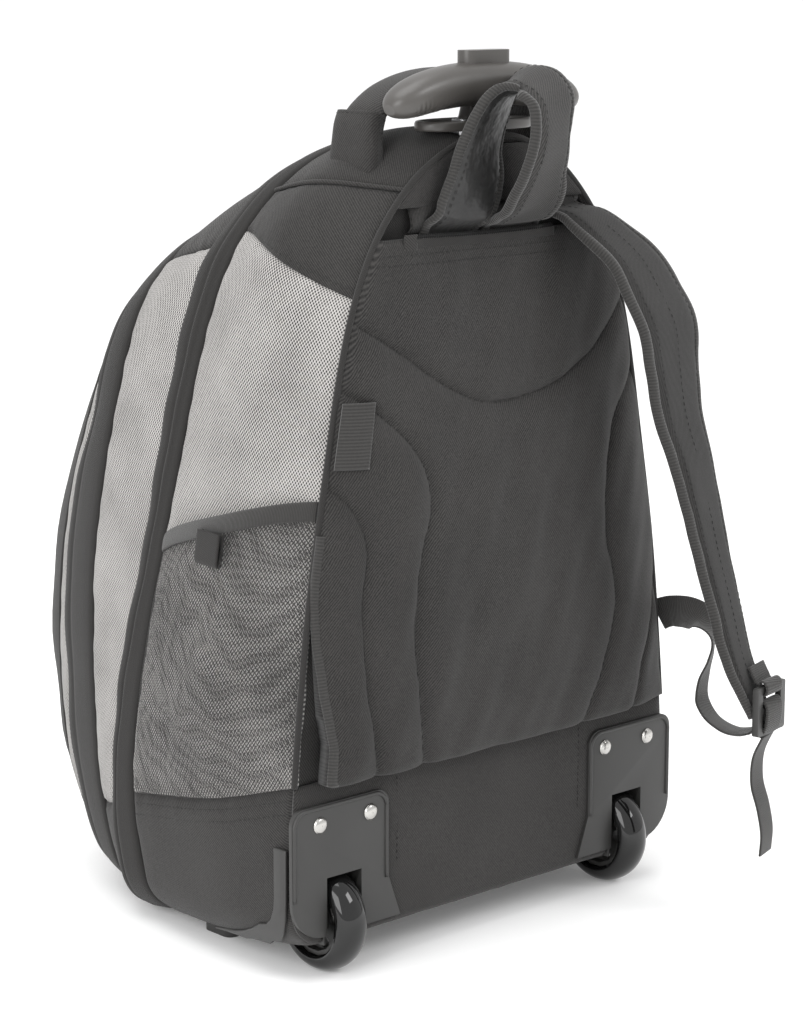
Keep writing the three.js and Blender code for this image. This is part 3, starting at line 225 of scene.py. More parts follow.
def arc(points, axis):
    """Running length along one axis of a grid."""
    step = np.linalg.norm(np.diff(points, axis=axis), axis=-1)
    start = np.zeros_like(np.take(step, [0], axis=axis))
    return np.concatenate([start, np.cumsum(step, axis=axis)], axis=axis)


def grid_uv(points):
    across = arc(points, 1)
    middle = across.shape[1] // 2
    across = across - across[:, middle:middle + 1]
    down = arc(points, 0)
    return np.stack([across, down], -1)


def mesh_object(name, points, faces, uv=None, smooth_shade=True):
    """A mesh object from points in millimetres. uv: one pair for each point, in millimetres."""
    mesh = bpy.data.meshes.new(name)
    places = (np.asarray(points, float) + [0, AXLE_Y, 0]) / 1000
    mesh.from_pydata(places.tolist(), [], [list(f) for f in faces])
    if uv is not None:
        layer = mesh.uv_layers.new(name="cloth")
        corner = np.zeros(len(mesh.loops), int)
        mesh.loops.foreach_get("vertex_index", corner)
        layer.data.foreach_set("uv", (np.asarray(uv)[corner] / 1000).ravel())
    mesh.polygons.foreach_set("use_smooth", [smooth_shade] * len(mesh.polygons))
    mesh.update()
    obj = bpy.data.objects.new(name, mesh)
    bpy.context.scene.collection.objects.link(obj)
    return obj


def slab(name, outer, inner, wrapped=False, uv=None):
    """A closed sheet between two grids of points."""
    rows, columns = outer.shape[:2]
    half = rows * columns
    points = np.concatenate([outer.reshape(-1, 3), inner.reshape(-1, 3)])
    uv = grid_uv(outer) if uv is None else uv
    uv = np.concatenate([uv.reshape(-1, 2)] * 2)
    faces = []
    last = columns if wrapped else columns - 1
    for r in range(rows - 1):
        for c in range(last):
            d = (c + 1) % columns
            a, b = r * columns + c, r * columns + d
            faces.append((a, b, b + columns, a + columns))
            faces.append((half + a, half + a + columns, half + b + columns, half + b))
    for c in range(last):
        d = (c + 1) % columns
        end = (rows - 1) * columns
        faces.append((c, half + c, half + d, d))
        faces.append((end + c, end + d, half + end + d, half + end + c))
    if not wrapped:
        for r in range(rows - 1):
            a, b = r * columns, r * columns + columns - 1
            faces.append((a, a + columns, half + a + columns, half + a))
            faces.append((b, half + b, half + b + columns, b + columns))
    return mesh_object(name, points, outward(points, faces), uv)


def outward(points, faces):
    """The faces turned so that they point out of the body."""
    p = np.asarray(points)
    volume = 0.0
    for f in faces:
        for i in range(1, len(f) - 1):
            volume += float(np.dot(p[f[0]], np.cross(p[f[i]], p[f[i + 1]])))
    return faces if volume > 0 else [tuple(reversed(f)) for f in faces]


def sweep(name, middle, side, up, section, closed=False):
    """A body swept along middle. section: for each station a ring of (side, up) pairs."""
    middle = np.asarray(middle, float)
    section = np.asarray(section, float)
    if section.ndim == 2:
        section = np.broadcast_to(section, (len(middle),) + section.shape)
    rings = (middle[:, None] + side[:, None] * section[..., :1] + up[:, None] * section[..., 1:])
    rows, sides = rings.shape[:2]
    around = np.linalg.norm(np.diff(np.concatenate([rings, rings[:, :1]], 1), axis=1), axis=-1)
    across = np.concatenate([np.zeros((rows, 1)), np.cumsum(around, 1)[:, :-1]], 1)
    along = np.repeat(arc(middle[:, None], 0), sides, 1)
    uv = np.stack([across, along], -1).reshape(-1, 2)
    faces = []
    for r in range(rows if closed else rows - 1):
        n = (r + 1) % rows
        for k in range(sides):
            m = (k + 1) % sides
            faces.append((r * sides + k, r * sides + m, n * sides + m, n * sides + k))
    if not closed:
        faces.append(tuple(range(sides))[::-1])
        faces.append(tuple((rows - 1) * sides + k for k in range(sides)))
    points = rings.reshape(-1, 3)
    return mesh_object(name, points, outward(points, faces), uv)


def ring(half_wide, half_tall, sides=12, power=2.0):
    turn = np.arange(sides) * 2 * math.pi / sides
    c, s = np.cos(turn), np.sin(turn)
    shape = lambda x: np.sign(x) * np.abs(x) ** (2 / power)
    return np.stack([half_wide * shape(c), half_tall * shape(s)], -1)


def curve_points(points, count):
    """count points at even spacing on a smooth curve through the points."""
    points = np.asarray(points, float)
    knots = arc(points[:, None, :3], 0)[:, 0]
    fine = np.linspace(0, knots[-1], count * 6)
    dense = np.stack([smooth(knots, points[:, i], fine) for i in range(points.shape[1])], -1)
    length = arc(dense[:, None, :3], 0)[:, 0]
    even = np.linspace(0, length[-1], count)
    return np.stack([np.interp(even, length, dense[:, i]) for i in range(points.shape[1])], -1)


def frame_of(middle, wide):
    along = unit(np.gradient(middle, axis=0))
    wide = unit(wide - along * np.sum(wide * along, -1, keepdims=True))
    return along, wide, unit(np.cross(wide, along))


def tube(name, path, radius, normal=None, sides=8, closed=False):
    path = np.asarray(path, float)
    along = unit(np.gradient(path, axis=0))
    if closed:
        along = unit(np.roll(path, -1, 0) - np.roll(path, 1, 0))
    guide = np.broadcast_to([0.31, 0.52, 0.79], path.shape) if normal is None else normal
    side = unit(np.cross(along, guide))
    up = np.cross(side, along)
    return sweep(name, path, side, up, ring(radius, radius, sides), closed)


# Materials
def material(name, color, roughness, metallic=0.0):
    mat = bpy.data.materials.new(name)
    mat.use_nodes = True
    shader = mat.node_tree.nodes["Principled BSDF"]
    shader.inputs["Base Color"].default_value = (*color, 1)
    shader.inputs["Roughness"].default_value = roughness
    shader.inputs["Metallic"].default_value = metallic
    return mat, mat.node_tree, shader


def node(tree, kind, **values):
    made = tree.nodes.new(kind)
    for key, value in values.items():
        if key in made.inputs:
            made.inputs[key].default_value = value
        else:
            setattr(made, key, value)
    return made


def math_node(tree, operation, a, b=None):
    made = tree.nodes.new("ShaderNodeMath")
    made.operation = operation
    for i, value in enumerate((a, b)):
        if value is None:
            continue
        if isinstance(value, (int, float)):
            made.inputs[i].default_value = value
        else:
            tree.links.new(value, made.inputs[i])
    return made.outputs[0]


def ramp(tree, factor, stops):
    made = tree.nodes.new("ShaderNodeValToRGB")
    elements = made.color_ramp.elements
    while len(elements) < len(stops):
        elements.new(0.5)
    for element, (at, color) in zip(elements, stops):
        element.position = at
        element.color = (*color, 1)
    tree.links.new(factor, made.inputs[0])
    return made.outputs[0]


def plus(tree, a, b):
    return math_node(tree, "ADD", a, b)


def minus(tree, a, b):
    return math_node(tree, "SUBTRACT", a, b)


def times(tree, a, b):
    return math_node(tree, "MULTIPLY", a, b)


def cloth_place(tree, by_object):
    """U and V in millimetres, from the mesh's own map or from its place."""
    coordinates = node(tree, "ShaderNodeTexCoord")
    source = coordinates.outputs["Object" if by_object else "UV"]
    split = node(tree, "ShaderNodeSeparateXYZ")
    tree.links.new(source, split.inputs[0])
    if by_object:
        sum_xy = plus(tree, split.outputs[0], times(tree, split.outputs[1], 0.7))
        u, v = sum_xy, split.outputs[2]
    else:
        u, v = split.outputs[0], split.outputs[1]
    return coordinates, times(tree, u, 1000.0), times(tree, v, 1000.0)


def sine(tree, value, period):
    return math_node(tree, "SINE", times(tree, value, 2 * math.pi / period))


def add_bump(tree, shader, height, strength, distance):
    bump = node(tree, "ShaderNodeBump", Strength=strength, Distance=distance)
    tree.links.new(height, bump.inputs["Height"])
    tree.links.new(bump.outputs[0], shader.inputs["Normal"])


def noise_of(tree, coordinates, scale, detail=4.0, output="Object"):
    noise = node(tree, "ShaderNodeTexNoise", Scale=scale, Detail=detail)
    tree.links.new(coordinates.outputs[output], noise.inputs["Vector"])
    return noise.outputs[0]


def scaled(color, factor):
    return tuple(c * factor for c in color)


def twill(name, color, period=1.7, by_object=False, sheen=0.1, contrast=0.2):
    """Diagonal weave with a worn, slightly uneven colour."""
    mat, tree, shader = material(name, color, 0.82)
    coordinates, u, v = cloth_place(tree, by_object)
    rib = sine(tree, plus(tree, u, times(tree, v, 0.8)), period)
    thread = sine(tree, minus(tree, u, v), period * 0.61)
    weave = plus(tree, times(tree, rib, 0.34), times(tree, thread, 0.16))
    fuzz = noise_of(tree, coordinates, 900.0, 2.0)
    blotch = noise_of(tree, coordinates, 14.0, 3.0)
    shade = plus(tree, plus(tree, weave, 0.5), minus(tree, fuzz, 0.5))
    shade = plus(tree, shade, times(tree, minus(tree, blotch, 0.5), 0.5))
    dark, light = scaled(color, 1 - contrast * 1.6), scaled(color, 1 + contrast * 1.6)
    tree.links.new(ramp(tree, shade, [(0.0, dark), (1.0, light)]), shader.inputs["Base Color"])
    shader.inputs["Sheen Weight"].default_value = sheen
    shader.inputs["Sheen Roughness"].default_value = 0.5
    shader.inputs["Specular IOR Level"].default_value = 0.25
    height = plus(tree, weave, times(tree, fuzz, 0.6))
    add_bump(tree, shader, height, 0.5, 0.0004)
    return mat


def grosgrain(name, color, period=1.9, by_object=False):
    """Tape with ribs across its length."""
    mat, tree, shader = material(name, color, 0.75)
    coordinates, u, v = cloth_place(tree, by_object)
    rib = plus(tree, times(tree, sine(tree, v, period), 0.5), 0.5)
    fuzz = noise_of(tree, coordinates, 700.0, 2.0)
    shade = plus(tree, times(tree, rib, 0.7), times(tree, fuzz, 0.5))
    tree.links.new(
        ramp(tree, shade, [(0.0, scaled(color, 0.55)), (1.0, scaled(color, 1.6))]),
        shader.inputs["Base Color"])
    shader.inputs["Sheen Weight"].default_value = 0.2
    shader.inputs["Specular IOR Level"].default_value = 0.3
    add_bump(tree, shader, shade, 0.7, 0.0005)
    return mat


def lattice(tree, u, v, cell, stretch, turn=math.pi / 4):
    """Distance from the nearest point of a regular lattice, in cells."""
    combine = node(tree, "ShaderNodeCombineXYZ")
    cosine, sine_turn = math.cos(turn) / cell, math.sin(turn) / cell
    v = times(tree, v, stretch)
    x = plus(tree, times(tree, u, cosine), times(tree, v, sine_turn))
    y = minus(tree, times(tree, v, cosine), times(tree, u, sine_turn))
    tree.links.new(x, combine.inputs[0])
    tree.links.new(y, combine.inputs[1])
    voronoi = node(tree, "ShaderNodeTexVoronoi", Scale=1.0, Randomness=0.0)
    voronoi.voronoi_dimensions = "2D"
    tree.links.new(combine.outputs[0], voronoi.inputs["Vector"])
    return voronoi.outputs["Distance"]


def spacer_mesh(name, light, dark):
    """Pale knitted mesh with small holes in staggered rows, painted dark as the shade inside them."""
    mat, tree, shader = material(name, light, 0.8)
    coordinates, u, v = cloth_place(tree, False)
    distance = lattice(tree, v, u, 1.46, 0.76)
    fuzz = noise_of(tree, coordinates, 600.0, 2.0)
    blotch = noise_of(tree, coordinates, 26.0, 2.0)
    value = plus(tree, distance, times(tree, minus(tree, fuzz, 0.5), 0.14))
    value = plus(tree, value, times(tree, minus(tree, blotch, 0.5), 0.16))
    # Painted shade: the holes are dark, with a darker rim round each.
    color = ramp(tree, value, [(0.25, dark), (0.4, scaled(light, 0.6)), (0.58, light)])
    tree.links.new(color, shader.inputs["Base Color"])
    shader.inputs["Specular IOR Level"].default_value = 0.2
    shader.inputs["Sheen Weight"].default_value = 0.1
    add_bump(tree, shader, value, 0.6, 0.0005)
    return mat


def open_net(name, thread, glint, across=2.6, along=3.3, cover=0.4):
    """Open net: dark threads cross on two diagonals, with diamond holes between them."""
    mat, tree, shader = material(name, thread, 0.6)
    coordinates, u, v = cloth_place(tree, False)
    fuzz = noise_of(tree, coordinates, 420.0, 3.0)
    drape = noise_of(tree, coordinates, 28.0, 2.0)
    a = math_node(tree, "DIVIDE", v, across)
    b = math_node(tree, "DIVIDE", u, along)
    strands = []
    for operation in ("ADD", "SUBTRACT"):
        phase = times(tree, math_node(tree, operation, a, b), math.pi)
        strands.append(math_node(tree, "ABSOLUTE", math_node(tree, "SINE", phase)))
    gap = math_node(tree, "MINIMUM", strands[0], strands[1])
    wide = plus(tree, times(tree, fuzz, 0.34), cover - 0.17)
    wide = plus(tree, wide, times(tree, minus(tree, drape, 0.5), 0.5))
    thread_here = math_node(tree, "LESS_THAN", gap, wide)
    tree.links.new(thread_here, shader.inputs["Alpha"])
    tree.links.new(ramp(tree, fuzz, [(0.5, thread), (0.75, glint)]), shader.inputs["Base Color"])
    add_bump(tree, shader, gap, 0.6, 0.0005)
    return mat


def moulded(name, color, roughness=0.42, grain=0.15):
    """Moulded plastic with a fine grain and slightly uneven gloss."""
    mat, tree, shader = material(name, color, roughness)
    coordinates = node(tree, "ShaderNodeTexCoord")
    grain_noise = noise_of(tree, coordinates, 1500.0, 2.0)
    smudge = noise_of(tree, coordinates, 22.0, 4.0)
    rough = plus(tree, times(tree, smudge, 0.16), roughness - 0.08)
    tree.links.new(rough, shader.inputs["Roughness"])
    shade = ramp(tree, smudge, [(0.3, scaled(color, 0.85)), (0.7, scaled(color, 1.15))])
    tree.links.new(shade, shader.inputs["Base Color"])
    add_bump(tree, shader, grain_noise, grain, 0.0003)
    return mat


def lining(name, color):
    """Thin shiny lining with crumpled creases; painted shade and highlight follow the creases."""
    mat, tree, shader = material(name, color, 0.44)
    coordinates = node(tree, "ShaderNodeTexCoord")
    crease = noise_of(tree, coordinates, 55.0, 3.0)
    shader.inputs["Sheen Weight"].default_value = 0.1
    # Painted shade and highlight: the colour goes darker and lighter with the creases' height.
    shade = ramp(tree, crease, [(0.35, scaled(color, 0.7)), (0.65, scaled(color, 1.3))])
    tree.links.new(shade, shader.inputs["Base Color"])
    add_bump(tree, shader, crease, 0.8, 0.004)
    return mat


def metal(name, color, roughness):
    mat, tree, shader = material(name, color, roughness, 1.0)
    coordinates = node(tree, "ShaderNodeTexCoord")
    scuffs = noise_of(tree, coordinates, 300.0, 4.0)
    rough = plus(tree, times(tree, scuffs, 0.14), roughness)
    tree.links.new(rough, shader.inputs["Roughness"])
    return mat


CHARCOAL = (0.025, 0.0237, 0.0228)
M_TWILL = twill("charcoal_twill", CHARCOAL, period=1.7, contrast=0.5)
# A darker copy of the charcoal twill: painted shade for the inside of the strap pocket and the right strap's
# underside.
M_TWILL_PAINTED_SHADE = twill("charcoal_twill_painted_shade", scaled(CHARCOAL, 0.7), contrast=0.4)
M_BAND = twill("zip_cover", scaled(CHARCOAL, 0.82), period=1.2, contrast=0.1)
M_COARSE = twill("coarse_twill", scaled(CHARCOAL, 1.1), period=2.4, contrast=0.5)
M_TAPE = grosgrain("ribbed_tape", (0.022, 0.021, 0.02))
M_RIBBON = grosgrain("pocket_ribbon", (0.019, 0.018, 0.017), period=1.0)
M_WEBBING = grosgrain("webbing", (0.02, 0.019, 0.018), period=1.3)
# The second colour is the painted shade in the mesh's holes.
M_MESH = spacer_mesh("grey_spacer_mesh", (0.47, 0.455, 0.44), (0.02, 0.019, 0.018))
M_NET = open_net("pocket_net", (0.01, 0.0095, 0.009), (0.045, 0.043, 0.04))
M_LINING = lining("shiny_lining", (0.01, 0.0097, 0.0095))
M_THREAD = twill("thread", (0.016, 0.0155, 0.015), period=0.6)
M_PLASTIC = moulded("moulded_plastic", (0.026, 0.0255, 0.0245))
M_GRIP = moulded("grip_plastic", (0.062, 0.058, 0.054), 0.34, 0.08)
M_TEETH = moulded("zip_teeth", (0.02, 0.02, 0.02), 0.3, 0.05)
M_TYRE = moulded("tyre_rubber", (0.006, 0.006, 0.006), 0.07, 0.0)
M_STEEL = metal("polished_steel", (0.5, 0.49, 0.47), 0.16)
M_TUBE = metal("anodised_tube", (0.55, 0.55, 0.56), 0.28)


def dress(obj, mat, body="bag", nodes=()):
    obj.data.materials.clear()
    obj.data.materials.append(mat)
    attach(obj, body)
    if nodes:
        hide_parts(*nodes)
    return obj


# Bag shell
def border_distance(points, wrapped=False):
    across, down = arc(points, 1), arc(points, 0)
    rows = np.minimum(down, down[-1:] - down)
    if wrapped:
        return rows
    return np.minimum(rows, np.minimum(across, across[:, -1:] - across))


def cloth_panel(name, nodes, span, columns, count, mat, puff=2.0, wrinkle=0.5, wrapped=False):
    """A sewn panel: puffed between its seams, with shallow puckers along them."""
    v = np.linspace(span[0], span[1], count[0] + 1)
    k = np.linspace(columns[0], columns[1], count[1] + 1)
    if wrapped:
        k = k[:-1]
    skin, normal = skin_grid(v, k)
    edge = border_distance(skin, wrapped)
    body = 1 - np.exp(-edge / 7)
    tuck = np.exp(-edge / 1.6)
    pucker = waves(skin, 16, 3) * np.exp(-edge / 9)
    lift = puff * body - 1.4 * tuck + wrinkle * (0.6 * pucker + 0.7 * waves(skin, 75, 11) * body)
    outer = skin + normal * lift[..., None]
    inner = skin + normal * (lift - CLOTH)[..., None]
    return dress(slab(name, outer, inner, wrapped), mat, "bag", nodes)


MAIN = (BACK_SEAM, REAR_ZIP)
MIDDLE = (REAR_ZIP_END, FRONT_ZIP)
FRONT = (FRONT_ZIP_END, FRONT_PANEL)
BASE_FAR = 2 * LAST - BASE

cloth_panel("bag_top", ["top_panel"], MAIN, (-SEAM, SEAM), (46, 90), M_TWILL, 1.2, 0.4)
cloth_panel("bag_base", ["base_shell"], MAIN, (BASE, BASE_FAR), (60, 130), M_TWILL, 1.6, 0.5)
cloth_panel("bag_middle_top", ["middle_top"], MIDDLE, (-YOKE, YOKE), (40, 120), M_TWILL, 2.0, 0.7)
cloth_panel("bag_middle_base", ["middle_base"], MIDDLE, (BASE, BASE_FAR), (24, 120), M_TWILL, 1.5, 0.5)
cloth_panel("bag_front_top", ["front_top"], FRONT, (-YOKE, YOKE), (24, 120), M_TWILL, 1.8, 0.5)
cloth_panel("bag_front_base", ["front_base"], FRONT, (BASE, BASE_FAR), (20, 120), M_TWILL, 1.2, 0.4)
for side_name, sign in (("left", 1), ("right", -1)):
    def zone(a, b):
        return (a, b) if sign > 0 else (-b, -a)
    cloth_panel(f"bag_yoke_{side_name}", [f"yoke_{side_name}"], MAIN, zone(SEAM, YOKE), (60, 40),
                M_TWILL, 1.6, 0.5)
    cloth_panel(f"bag_side_{side_name}", [f"side_panel_{side_name}"], MAIN, zone(YOKE, BASE), (60, 110),
                M_MESH, 2.2, 0.8)
    cloth_panel(f"bag_middle_side_{side_name}", [f"middle_side_{side_name}"], MIDDLE, zone(YOKE, BASE),
                (40, 110), M_MESH, 2.6, 1.0)
    cloth_panel(f"bag_front_side_{side_name}", [f"front_side_{side_name}"], FRONT, zone(YOKE, BASE),
                (24, 110), M_MESH, 2.6, 1.0)


def zip_cover(name, node_name, start, end, seed):
    """A flap of cloth over a zip: sewn along its rear edge, wavy and free along its front edge."""
    k = np.linspace(-LAST, LAST, 401)[:-1]
    rows_of = [(0, -0.8), (0.03, 0.7), (0.1, 1.5), (0.25, 2.0), (0.45, 2.3), (0.62, 2.5), (0.7, 2.3),
               (0.74, 1.5), (0.78, 2.3), (0.86, 2.8), (0.94, 3.0), (0.98, 2.9), (1.0, 2.5)]
    base, base_normal = skin_grid([start, end], k)
    ahead = unit(base[1] - base[0])
    wave = waves(base.mean(0), 60, seed)
    rows = []
    for s, h in rows_of:
        skin, normal = skin_grid([start + (end - start) * s * 1.06], k)
        lift, push = h + 0.5 * wave * s ** 2, wave * 1.5 * s ** 2
        rows.append(skin[0] + normal[0] * lift[:, None] + ahead * push[:, None])
    outer = np.array(rows)
    inner = outer - base_normal[:1] * 1.1
    return dress(slab(name, outer, inner, True), M_BAND, "bag", [node_name])


zip_cover("zip_cover_rear", "zip_band_rear", REAR_ZIP, REAR_ZIP_END, 5)
zip_cover("zip_cover_front", "zip_band_front", FRONT_ZIP, FRONT_ZIP_END, 6)


def front_pocket():
    """The front panel: the skin's last sections, then rings that close over its middle."""
    k = np.linspace(-LAST, LAST, 201)[:-1]
    v = np.linspace(FRONT_PANEL, SECTION_END, 26)
    skin, normal = skin_grid(v, k)
    rim = skin[-1]
    centre = rim.mean(0)
    centre[1] = rim[:, 1].min() - CLOTH
    rows, normals = [skin], [normal]
    forward_y = np.array([0, -1.0, 0])
    for share in np.linspace(0.93, 0.04, 16):
        ring_points = centre + (rim - centre) * share
        ring_points[:, 1] = centre[1] + (rim[:, 1] - centre[1]) * share ** 2
        rows.append(ring_points[None])
        normals.append(unit(forward_y + (normal[-1] - forward_y) * share ** 2)[None])
    grid, normals = np.concatenate(rows), np.concatenate(normals)
    edge = arc(grid, 0)
    drape = 0.9 * waves(grid, 90, 21) * (1 - np.exp(-edge / 20))
    lift = 2.0 * (1 - np.exp(-edge / 8)) - 1.4 * np.exp(-edge / 1.6) + drape
    outer = grid + normals * lift[..., None]
    inner = outer - normals * CLOTH
    return dress(slab("bag_front_pocket", outer, inner, True), M_TWILL, "bag", ["front_panel"])


front_pocket()


# Back of the bag
def back_half_width(z):
    return surface(place_at_height(np.zeros(np.shape(z)), z), np.zeros(np.shape(z)))[..., 0]


CROWN_KNOTS = np.array([0, 0.12, 0.3, 0.5, 0.66, 0.8, 0.92, 1])
CROWN_SHARES = np.array([0.68, 0.95, 1, 0.92, 0.72, 0.42, 0.14, 0])
GROOVES = {
    "yoke": [(150, 410), (128, 393), (107, 379), (77, 360), (48, 340), (19, 328), (-15, 328), (-48, 336),
             (-80, 352), (-104, 372), (-122, 395)],
    "inner_left": [(140, 368), (122, 347), (97, 328), (77, 309), (66, 288), (65, 270), (71, 251), (76, 230),
                   (78, 197), (72, 149), (65, 119)],
    "outer_left": [(146, 312), (130, 292), (118, 279), (110, 263), (109, 245), (113, 222), (112, 175),
                   (102, 119)],
    "inner_right": [(-138, 352), (-113, 325), (-96, 309), (-83, 283), (-80, 241), (-87, 205), (-87, 183),
                    (-78, 151), (-67, 119)],
    "outer_right": [(-148, 222), (-138, 190), (-128, 168), (-119, 150), (-115, 119)],
}


def groove_distance(x, z):
    nearest = np.full(x.shape, 1e3)
    for points in GROOVES.values():
        line = curve_points(np.array([(a, b, 0.0) for a, b in points]), 60)[:, :2]
        for a, b in zip(line[:-1], line[1:]):
            span = b - a
            t = np.clip(((x - a[0]) * span[0] + (z - a[1]) * span[1]) / (span @ span), 0, 1)
            nearest = np.minimum(nearest, np.hypot(x - a[0] - t * span[0], z - a[1] - t * span[1]))
    return nearest


def flap_edge_in(z):
    """How far the flap's lower left edge draws back from the side seam."""
    return 15 * np.clip((238 - z) / 95, 0, 1) ** 1.3


def flap_face(x, z, half):
    up = (z - FLAP_BOTTOM) / (FLAP_TOP - FLAP_BOTTOM)
    rise = FLAP_CROWN * smooth(CROWN_KNOTS, CROWN_SHARES, up) * (1 - np.abs(np.clip(x / half, -1, 1)) ** 5)
    groove = groove_distance(x, z)
    quilt = 3.4 * np.exp(-(groove / 5.5) ** 1.5) + 1.2 * np.exp(-(groove / 1.2) ** 2)
    soft = np.minimum(1, rise / 3 + 0.35)
    return FLAP_FACE_Y + rise - quilt * soft


def back_flap():
    rows = np.linspace(0, 1, 221)
    shares = np.sin(np.linspace(-1, 1, 191) * math.pi / 2)
    z = FLAP_BOTTOM + (FLAP_TOP - FLAP_BOTTOM) * rows
    half = back_half_width(z)[:, None]
    x = shares[None] * half
    left = np.clip(shares, 0, 1)[None] ** 3
    x = x - flap_edge_in(z)[:, None] * left
    zz = np.repeat(z[:, None], len(shares), 1)
    grid = np.stack([x, np.zeros_like(x), zz], -1)
    y = flap_face(x, zz, half) + 0.7 * waves(grid, 70, 31) + 0.5 * waves(grid, 28, 32)
    edge = border_distance(np.stack([x, y, zz], -1))
    y = y - 2.5 * np.exp(-edge / 2.2)
    y = y + 7 * left * np.clip((200 - zz) / 80, 0, 1)
    outer = np.stack([x, y, zz], -1)
    inner = outer.copy()
    inner[..., 1] = BACK_SEAM_Y + 0.3 + np.maximum(0, y - FLAP_FACE_Y - 8)
    flap = dress(slab("padded_flap", outer, inner), M_TWILL, "bag", ["back_flap"])
    return outer


flap_grid = back_flap()


def along_path(at, length, rows):
    """The row at a running length along a path."""
    return np.array([np.interp(at, length, rows[:, i]) for i in range(3)])


def stitch_line(points, normals, long=2.4, gap=1.7, wide=0.55, tall=0.35):
    """Corners and faces of a row of stitches along a path."""
    length = arc(points[:, None], 0)[:, 0]
    corners, faces = [], []
    for start in np.arange(0.5, length[-1] - long, long + gap):
        ends = [along_path(at, length, points) for at in (start, start + long)]
        normal = unit(along_path(start, length, normals))
        along = unit(ends[1] - ends[0])
        side = np.cross(along, normal) * wide / 2
        base = len(corners)
        inside = along * 0.5
        for end, lean in ((ends[0], 0.25), (ends[0] + inside, 1), (ends[1] - inside, 1), (ends[1], 0.25)):
            corners += [end - side * lean + normal * 0.02, end + side * lean + normal * 0.02,
                        end + normal * tall * lean]
        for i in range(3):
            a = base + 3 * i
            faces += [(a, a + 1, a + 4, a + 3), (a + 1, a + 2, a + 5, a + 4), (a + 2, a, a + 3, a + 5)]
        faces += [(base + 2, base + 1, base), (base + 9, base + 10, base + 11)]
    return corners, faces


class Stitches:
    """Gathers rows of stitches into one piece."""

    def __init__(self):
        self.corners, self.faces = [], []

    def add(self, points, normals, **sizes):
        corners, faces = stitch_line(np.asarray(points, float), np.asarray(normals, float), **sizes)
        base = len(self.corners)
        self.corners += corners
        self.faces += [tuple(i + base for i in face) for face in faces]

    def finish(self, name, mat, body="bag"):
        obj = mesh_object(name, self.corners, self.faces, np.zeros((len(self.corners), 2)), False)
        return dress(obj, mat, body)


seams = Stitches()
OUT_Y = np.array([0, 1.0, 0])


def facing_back(points):
    return np.repeat(OUT_Y[None], len(points), 0)


def on_flap(x, z):
    """The flap's face at x, z, read from its grid."""
    row = np.clip((z - FLAP_BOTTOM) / (FLAP_TOP - FLAP_BOTTOM) * 220, 0, 220).astype(int)
    return np.array([np.interp(a, flap_grid[r, :, 0], flap_grid[r, :, 1]) for a, r in zip(x, row)])


for points in GROOVES.values():
    line = curve_points(np.array([(a, b, 0.0) for a, b in points]), 150)
    keep = np.abs(line[:, 0]) < back_half_width(line[:, 1]) - 4
    x, z = line[keep, 0], line[keep, 1]
    path = np.stack([x, on_flap(x, z) - 0.1, z], -1)
    seams.add(path, facing_back(path))


def flap_binding():
    """Ribbed tape along the flap's lower left edge."""
    z = np.linspace(FLAP_BOTTOM + 1, 262, 60)
    edge_x = flap_grid[:, -1, 0]
    edge_y = flap_grid[:, -1, 1]
    rows_z = flap_grid[:, -1, 2]
    x = np.interp(z, rows_z, edge_x)
    y = np.interp(z, rows_z, edge_y)
    path = np.stack([x - 1.2, y - 0.5, z], -1)
    along, side, up = frame_of(path, np.repeat([[1.0, 0, 0]], len(path), 0))
    binding = sweep("flap_binding", path, side, up, ring(3.6, 2.6, 14, 3.0))
    dress(binding, M_TAPE, "bag")


flap_binding()


def back_grid(z, columns, y, margin=0.0):
    """A flat grid across the back at heights z."""
    x = np.linspace(-1, 1, columns)[None] * (back_half_width(z)[:, None] - margin)
    return np.stack([x, np.full_like(x, y), np.repeat(z[:, None], columns, 1)], -1)


def pocket_hem():
    """The sewn band above the opening of the strap pocket."""
    grid = back_grid(np.linspace(441, 474, 26), 110, BACK_SEAM_Y + 1.9)
    edge = border_distance(grid)
    grid[..., 1] += 1 - np.exp(-edge / 6) - 0.8 * np.exp(-edge / 1.5) + 0.35 * waves(grid, 40, 41)
    dress(slab("pocket_hem", grid, grid - [0, CLOTH, 0]), M_TWILL, "bag", ["back_hem"])


pocket_hem()


def plate_seams():
    """Stitch rows along the top of the flap and across the hem."""
    for z_from_top in (9.0, 14.4):
        x = np.linspace(-74, 96, 260)
        z = np.full_like(x, FLAP_TOP - z_from_top)
        keep = np.abs(x) < back_half_width(z) - 2
        path = np.stack([x, on_flap(x, z) + 0.15, z], -1)[keep]
        seams.add(path, facing_back(path))
    for z in (444.5, 449):
        x = np.linspace(-60, 60, 200)
        path = np.stack([x, np.full_like(x, BACK_SEAM_Y + 3.1), np.full_like(x, z)], -1)
        seams.add(path, facing_back(path))


plate_seams()


def skin_line(v, k, lift):
    skin, normal = skin_grid(v, k)
    return skin + normal * lift, normal


def piping(name, path, normal, radius, mat, flat=1.0):
    along = unit(np.gradient(path, axis=0))
    side = unit(np.cross(along, normal))
    up = np.cross(side, along)
    dress(sweep(name, path, side, up, ring(radius, radius * flat, 8)), mat, "bag")


